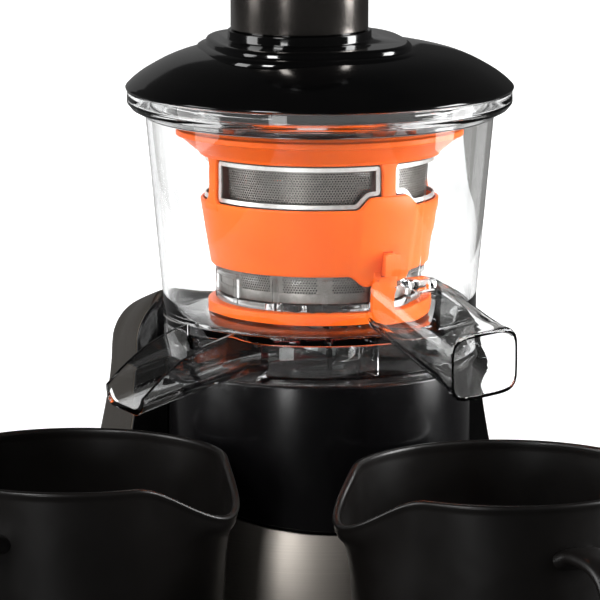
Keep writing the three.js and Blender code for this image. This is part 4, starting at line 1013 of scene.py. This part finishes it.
def body_outline(z, n_side=16, n_corner=16, n_back=24, inset=0.0, y0=Y_FRONT + 3.4):
    """points round the rear of the machine from its left front edge to its right front edge"""
    W, R, cr = half_width(z) - inset, rear_y(z) - inset, 27.0
    pts = []
    for i in range(n_side):
        t = i / n_side
        y = y0 + (R - cr - y0) * t
        pts.append((-W - 0.25 * math.sin(math.pi * t), y))
    for i in range(n_corner):
        a = math.pi - i / n_corner * math.pi / 2
        pts.append((-W + cr + cr * math.cos(a), R - cr + cr * math.sin(a)))
    for i in range(n_back + 1):
        t = i / n_back
        x = (-W + cr) + 2 * (W - cr) * t
        pts.append((x, R + 1.9 * math.sin(math.pi * t)))
    for i in range(n_corner):
        a = math.pi / 2 - (i + 1) / n_corner * math.pi / 2
        pts.append((W - cr + cr * math.cos(a), R - cr + cr * math.sin(a)))
    for i in range(n_side):
        t = 1 - (i + 1) / n_side
        y = y0 + (R - cr - y0) * t
        pts.append((W + 0.25 * math.sin(math.pi * t), y))
    return np.array(pts)


ROOF_Y = [18, 30, 45, 70, 98, 112, 125]
ROOF_Z = [177.2, 175.3, 171.3, 162.8, 150.3, 142.8, 134.0]


def roof(y):
    t = np.polyfit(ROOF_Y, ROOF_Z, 3)
    return float(np.polyval(t, y))


def build_body():
    zref = 150.0
    out = body_outline(zref)
    m = len(out)
    cols = []
    y0 = Y_FRONT + 3.4
    arc_a0 = math.atan2(y0, -math.sqrt(70.4**2 - y0**2))
    arc_a1 = math.atan2(y0, math.sqrt(70.4**2 - y0**2))
    # inner edge point for each outline point: even along the hollow's arc, by outline length
    seglen = np.concatenate([[0], np.cumsum(np.linalg.norm(np.diff(out, axis=0), axis=1))])
    frac = seglen / seglen[-1]
    levels = list(np.linspace(0, 1, 22))
    rings = []
    for i in range(m):
        P = out[i]
        # blend straight-across mapping near the wings with the even mapping behind
        a = arc_a0 + (arc_a1 - arc_a0) * frac[i]
        Q = np.array([70.4 * math.cos(a), 70.4 * math.sin(a)])
        side = min(1.0, abs(P[0]) / half_width(zref))
        corner = smooth01((P[1] - 60) / 40)
        R = 24 * (1 - corner) + 11 * corner
        dist = np.linalg.norm(Q - P)
        z_top = roof(P[1]) - R
        col = []
        for t in levels:
            z = 5 + (z_top - 5) * t
            q = body_outline(z)[i] if True else P
            col.append((q[0], q[1], z))
        base = np.array(col[-1][:2])
        d_vec = Q - base
        dist = np.linalg.norm(d_vec)
        n = 22
        for k in range(1, n + 1):
            t = k / n
            s = t**2.0 * 0.75 + 0.25 * t
            pos = base + d_vec * s
            d = dist * s
            drop = R * (1 - math.sqrt(max(0.0, 1 - (1 - d / R) ** 2))) if d < R else 0.0
            col.append((pos[0], pos[1], roof(pos[1]) - drop))
        rings.append(col)
    k = len(rings[0])
    V = [p for col in rings for p in col]
    F = []
    for i in range(m - 1):
        for j in range(k - 1):
            a = i * k + j
            F.append((a, a + k, a + k + 1, a + 1))
    o = make("rear_shell", V, F, 0)
    # face outwards, then thicken inwards
    bm = bmesh.new()
    bm.from_mesh(o.data)
    bm.faces.ensure_lookup_table()
    f = max(bm.faces, key=lambda q: q.calc_center_median().y)
    if f.normal.y < 0:
        bmesh.ops.reverse_faces(bm, faces=bm.faces)
    bm.to_mesh(o.data)
    bm.free()
    sol = o.modifiers.new("s", "SOLIDIFY")
    sol.thickness, sol.offset, sol.use_even_offset = 2.5 * MM, -1, False
    bake_modifiers(o)
    tidy(o, 50)
    soften(o, 0.7, 3, 60, 50)
    # louvres, cord opening, switch window
    for i in range(5):
        boolean(o, cuboid("louvre", (46, 16, 3.0), (0, 110, 44 + i * 9), 0, 0.6), smooth=50)
    hole = lathe("cordhole", [(0, -12), (7.5, -12), (7.5, 12), (0, 12)], 48)
    hole.data.transform(Matrix.Translation((-AX * MM, -AY * MM, 0)))
    hole.data.transform(Matrix.Rotation(math.pi / 2, 4, "X"))
    hole.data.transform(Matrix.Translation((AX * MM, (AY + 112) * MM, 22 * MM)))
    boolean(o, hole, smooth=50)
    boolean(o, cuboid("swwin", (16, 22.6, 32.6), (82, 62, 58)), smooth=50)
    drop_bits(o)
    o.name = o.data.name = "rear_body_shell"
    piece(o, "base", M["body"], "rear_housing", slot="graphite_metallic")

    # gloss black liner: hollow behind the bowl
    a0, a1 = math.atan2(18.4, math.sqrt(69.9**2 - 18.4**2)), math.pi - math.atan2(18.4, math.sqrt(69.9**2 - 18.4**2))
    n = 120
    rings = []
    for i in range(n + 1):
        a = a0 + (a1 - a0) * i / n
        y = 70.2 * math.sin(a)
        # same rounding as the shell's inner edge
        edge = abs(70.4 * math.cos(a))
        W = half_width(150)
        d = max(0.0, W - edge) if y < 60 else 40
        R = 24
        drop = R * (1 - math.sqrt(max(0.0, 1 - (1 - d / R) ** 2))) if d < R else 0.0
        zt = roof(y) - drop - 0.6
        prof = fil([(63.6, 146.7, 0.3), (69.9, 146.7, 0.5), (69.9, zt, 0.5), (67.6, zt, 0.5), (67.6, 148.9, 0.4), (63.6, 148.9, 0.3)], seg=3)
        rings.append([(r * math.cos(a), r * math.sin(a), z) for r, z in prof])
    hol = loft("liner", rings, smooth=40)
    # flat front of each wing
    for s in (-1, 1):
        pts = []
        for z in np.linspace(7.4, 149.6, 30):
            pts.append((half_width(z) - 0.05, z))
        W = half_width(150)
        for t in np.linspace(0, 1, 14)[1:]:
            d = (W - 64.9) * t**1.6
            R = 24
            drop = R * (1 - math.sqrt(max(0.0, 1 - (1 - d / R) ** 2)))
            pts.append((W - d, roof(20) - drop))
        zi = pts[-1][1]
        pts += [(64.6, zi - 1), (64.6, 149.3), (60.9, 149.3), (60.9, 7.4)]
        rings = [[(s * x, y, z) for x, z in pts] for y in (18.2, 20.8)]
        w = loft("wing", rings)
        soften(w, 0.5, 2, 40)
        boolean(hol, w, "UNION", smooth=40)
    hol.name = hol.data.name = "column_gloss_liner"
    piece(hol, "base", M["gloss"], "column_liner", slot="gloss_black")


def low_edge(a, r, z):
    """height of the sloping line at angle a"""
    return z + SKEW * (r * math.sin(a) + R_SEAT)


def build_base_front():
    n = 192
    rings = []
    for i in range(n):
        a = 2 * math.pi * i / n
        zl = low_edge(a, 62.5, 88.3)
        zc = low_edge(a, 59.1, 79.5)
        s = smooth01((math.sin(a) + 0.25) / 0.2)  # the tucked lip is only at the front
        zc = zc + (zl + 4 - zc) * s
        prof = fil(
            [(59.0, zc, 0.4), (59.1 + 0.0, zl + 2.2, 0.2), (60.0, zl, 0.6), (62.5, zl, 0.8), (62.5, 147.6, 0.9), (61.7, 148.5, 0.5), (60.7, 148.5, 0.3), (60.6, 141.0, 0.4), (15.8, 141.0, 0.4), (15.8, 146.5, 0.5), (10.6, 146.5, 0.3), (10.6, 138.2), (57.7, 138.2, 0.6), (57.7, zc, 0.4)],
            seg=3,
        )
        rings.append([(r * math.cos(a), r * math.sin(a), z) for r, z in prof])
    o = loft("seat_drum", rings, cap=False, loop=True, smooth=36)
    piece(o, "base", M["seat"], "seat_housing", slot="satin_black")
    # brushed steel skirt
    lim = math.asin(16.9 / 61.0)
    a0, a1 = -math.pi - lim, lim
    rings = []
    m = 170
    for i in range(m + 1):
        a = a0 + (a1 - a0) * i / m
        zt = low_edge(a, 61, 86.3)
        prof = fil([(59.6, 5.0, 0.3), (61.0, 5.0, 0.5), (61.0, zt, 0.6), (59.6, zt, 0.4)], seg=3)
        rings.append([(r * math.cos(a), r * math.sin(a), z) for r, z in prof])
    o = loft("steel_front_skirt", rings, smooth=40)
    piece(o, "base", M["steel"], "steel_skirt", slot="brushed_steel")


# ---------------------------------------------------------------- jugs
def build_jug(name, at, lip_deg, handle_deg, body):
    n = 200
    ang = 2 * math.pi * np.arange(n) / n
    d = (np.degrees(ang) - lip_deg + 540) % 360 - 180
    w = np.where(np.abs(d) < 34, 0.5 + 0.5 * np.cos(np.pi * d / 34), 0.0)
    w2 = np.where(np.abs(d) < 40, 0.5 + 0.5 * np.cos(np.pi * d / 40), 0.0)

    def ring(z, inner, extra=0.0):
        r = JUG_R_FOOT + (JUG_R - JUG_R_FOOT) * min(z, JUG_H) / JUG_H
        h = smooth01((z - 62) / (JUG_H - 62))
        rr = r - (2.3 if inner else 0.0) + extra + 8.0 * w * h**1.5
        zz = z - 16.0 * w2 * smooth01((z - 92) / (JUG_H - 92)) ** 1.0
        return np.column_stack([rr * np.cos(ang) + at[0], rr * np.sin(ang) + at[1], zz])

    rings = []
    # foot, wall, rolled rim, inside, floor
    for z, e in ((0.0, -5.0), (0.0, -3.0), (0.35, -1.4), (1.2, -0.5), (2.4, 0)):
        rings.append(ring(z, False, e))
    for z in np.concatenate([np.linspace(8, 90, 12), np.linspace(94, JUG_H - 2.4, 16)]):
        rings.append(ring(z, False))
    for k in range(7):
        a = math.pi * k / 6
        c = ring(JUG_H - 1.5, False, -1.15)
        q = ring(JUG_H - 1.5, False, -1.15 + 1.55 * math.cos(a))
        q[:, 2] = c[:, 2] + 1.5 * math.sin(a)
        rings.append(q)
    for z in np.concatenate([np.linspace(JUG_H - 3, 94, 14), np.linspace(90, 9, 10)]):
        rings.append(ring(z, True))
    for z, e in ((5.6, -0.6), (4.0, -2.2), (3.2, -5.0)):
        rings.append(ring(z, True, e))
    R = np.array(rings)
    # centre points close foot and floor
    V = R.reshape(-1, 3).tolist()
    m = len(rings)
    F = []
    for i in range(m - 1):
        for j in range(n):
            j2 = (j + 1) % n
            F.append((i * n + j, i * n + j2, (i + 1) * n + j2, (i + 1) * n + j))
    V += [[at[0], at[1], 0.0], [at[0], at[1], 3.2]]
    c0, c1 = len(V) - 2, len(V) - 1
    for j in range(n):
        j2 = (j + 1) % n
        F.append((c0, j2, j))
        F.append((c1, (m - 1) * n + j, (m - 1) * n + j2))
    o = make(name + "_vessel", V, F, 50)
    piece(o, body, M["jug"], name, slot="satin_black")
    # ear handle
    path = curve([(60.9, 101), (66, 103), (74, 103.5), (84, 102.2), (92, 97.5), (96.5, 89), (97.2, 78), (96.2, 62), (93.5, 50), (89, 40), (82, 32), (73, 27.5), (65, 25.6), (59.6, 25)], 6)
    path = np.array(path)
    tan = np.gradient(path, axis=0)
    tan /= np.linalg.norm(tan, axis=1)[:, None]
    nor = np.column_stack([-tan[:, 1], tan[:, 0]])
    rings = []
    ca, sa = math.cos(rad(handle_deg)), math.sin(rad(handle_deg))
    N = len(path)
    for i in range(N):
        f = i / (N - 1)
        hw = 9.3 - 1.6 * math.sin(math.pi * f)
        root = max(0, 1 - f / 0.08, 1 - (1 - f) / 0.08)
        e = super_ellipse(3.1 + 1.2 * root, hw + 1.2 * root, 3.0, 28)
        rr = path[i, 0] + nor[i, 0] * e[:, 0]
        zz = path[i, 1] + nor[i, 1] * e[:, 0]
        tt = e[:, 1]
        rings.append(np.column_stack([rr * ca - tt * sa + at[0], rr * sa + tt * ca + at[1], zz]))
    h = loft(name + "_grip", rings, smooth=45)
    core = lathe("core", [(0, -5), (JUG_R_FOOT + 0.15, -5), (JUG_R_FOOT + 0.15, 0), (JUG_R + 0.15, JUG_H), (0, JUG_H)], 200, at=at)
    boolean(h, core, smooth=45)
    drop_bits(h)
    piece(h, body, M["jug"], name + "_handle", slot="satin_black")


# ---------------------------------------------------------------- small outside pieces and the drive
def build_small():
    sx = half_width(58)
    # switch: surround and rocker with raised bars
    o = cuboid("switch_surround", (2.6, 27, 37), (sx + 1.2, 62, 58), 0, 0.7)
    boolean(o, cuboid("throat", (4.6, 22, 32), (sx - 1.0, 62, 58), 0, 0.3), "UNION")
    boolean(o, cuboid("win", (30, 15.4, 24.4), (sx, 62, 58)))
    piece(o, "base", M["satin"], "switch_bezel", slot="satin_black")
    px = sx - 2.2
    prof = fil([(px - 3.4, 58 - 8.2), (px + 3.2, 58 - 11, 0.6), (px + 4.6, 58 - 11, 0.8), (px + 3.4, 58, 3), (px + 4.6, 58 + 11, 0.8), (px + 3.2, 58 + 11, 0.6), (px - 3.4, 58 + 8.2)], seg=4)
    o = loft("switch_rocker_cap", [[(x, y, z) for x, z in prof] for y in (62 - 7.2, 62 + 7.2)])
    soften(o, 0.4, 2, 40)
    for z in (58 - 7, 58 - 5.6, 58 + 5.6, 58 + 7):
        boolean(o, cuboid("bar", (1.4, 9, 0.7), (px + 4.2, 62, z), 0, 0.15), "UNION")
    piece(o, "rocker", M["gloss"], "switch_rocker", slot="gloss_black")
    # cord inlet bush
    o = lathe("cord_bush", fil([(3.8, 102.1), (7.1, 102.1, 0.4), (7.1, 113.3), (8.9, 113.5, 0.4), (8.9, 114.9, 0.6), (6.6, 115, 0.3), (3.8, 115, 0.4)]), 64)
    o.data.transform(Matrix.Translation((-AX * MM, -AY * MM, 0)))
    o.data.transform(Matrix.Rotation(-math.pi / 2, 4, "X"))
    o.data.transform(Matrix.Translation((AX * MM, AY * MM, 22 * MM)))
    tidy(o)
    piece(o, "base", M["rubber"], "cord_inlet_bush", slot="rubber")
    # feet standing on a ring, hollow in the middle underneath
    for nm, (x, y) in {"foot_front_left": (-37, -34), "foot_front_right": (37, -34), "foot_rear_left": (-58, 88), "foot_rear_right": (58, 88)}.items():
        o = lathe(nm + "_pad", fil([(0, 0.6), (4.4, 0.6, 0.3), (5.0, 0, 0.3), (8.4, 0, 0.7), (9.0, 1.2, 0.4), (8.6, 2.2, 0.4), (8.8, 3.7), (0, 3.7)]), 56, at=(x, y))
        piece(o, "base", M["rubber"], nm, slot="rubber")
    # auger
    prof = fil([(0, 160), (8.5, 160, 0.4), (8.5, 169.3), (12.5, 169.3), (12.5, 179.2, 0.3), (38.8, 179.2, 0.6), (38.8, 181.4, 0.6), (33, 184, 2), (20, 207, 20), (9, 243, 2), (5, 245, 0.4), (5, 256, 0.6), (0, 257)])
    o = lathe("screw_core", prof, 96)
    turns, k, rings = 2.6, 200, []
    for i in range(k + 1):
        t = i / k
        a = -t * turns * 2 * math.pi
        z = 182 + t * 54
        ro, hgt = r_mesh(z) - 0.6 - 0.9, 4.6 - 2.2 * t
        e = (1 - t) / 0.07 if t > 0.93 else 1.0
        R = 6 + (ro - 6) * (0.35 + 0.65 * e)
        sec = fil([(6, z), (R, z - 0.4, 0.5), (R, z + hgt - 1.2, 0.6), (6, z + hgt)], seg=3)
        rings.append([(r * math.cos(a), r * math.sin(a), q) for r, q in sec])
    boolean(o, loft("flight", rings), "UNION")
    g = loft("sun", [[(x, y, z) for x, y in gear_outline(15, 2.0)] for z in (169.3, 175)])
    boolean(o, g, "UNION")
    hx = [(7.04 * math.cos(q * math.pi / 3), 7.04 * math.sin(q * math.pi / 3)) for q in range(6)]
    boolean(o, loft("socket", [[(x, y, z) for x, y in hx] for z in (150, 197)]))
    drop_bits(o)
    o.name = o.data.name = "auger_screw"
    piece(o, "screw", M["dark"], "auger", slot="dark_plastic")


KEEP = {
    "base_plate": "satin",
    "base_screw_front_left": "metal",
    "base_screw_front_right": "metal",
    "base_screw_rear_left": "metal",
    "base_screw_rear_right": "metal",
    "motor_can": "metal",
    "motor_rotor": "metal",
    "motor_fan": "white",
    "motor_pinion": "brass",
    "gearbox_tray": "dark",
    "gearbox_cover": "dark",
    "output_bush": "brass",
    "counter_wheel": "white",
    "counter_pinion": "metal",
    "counter_shaft": "metal",
    "output_wheel": "white",
    "drive_shaft": "metal",
    "shaft_seal": "rubber",
    "control_board": "board",
    "run_capacitor": "white",
    "idler_gear": "white",
}


def carry_over():
    for n, k in KEEP.items():
        me = NODES[n].data
        me.materials.clear()
        me.materials.append(M[k])
        me.polygons.foreach_set("material_index", [0] * len(me.polygons))


build_lid()
build_tube_parts()
build_bowl()
build_strainer()
build_wiper()
build_body()
build_base_front()
build_jug("juice_jug", (49.4, -116.8), 187, 283, "juice_catcher")
build_jug("pulp_jug", (-113.1, -58.7), -37, 227, "pulp_catcher")
build_small()
carry_over()
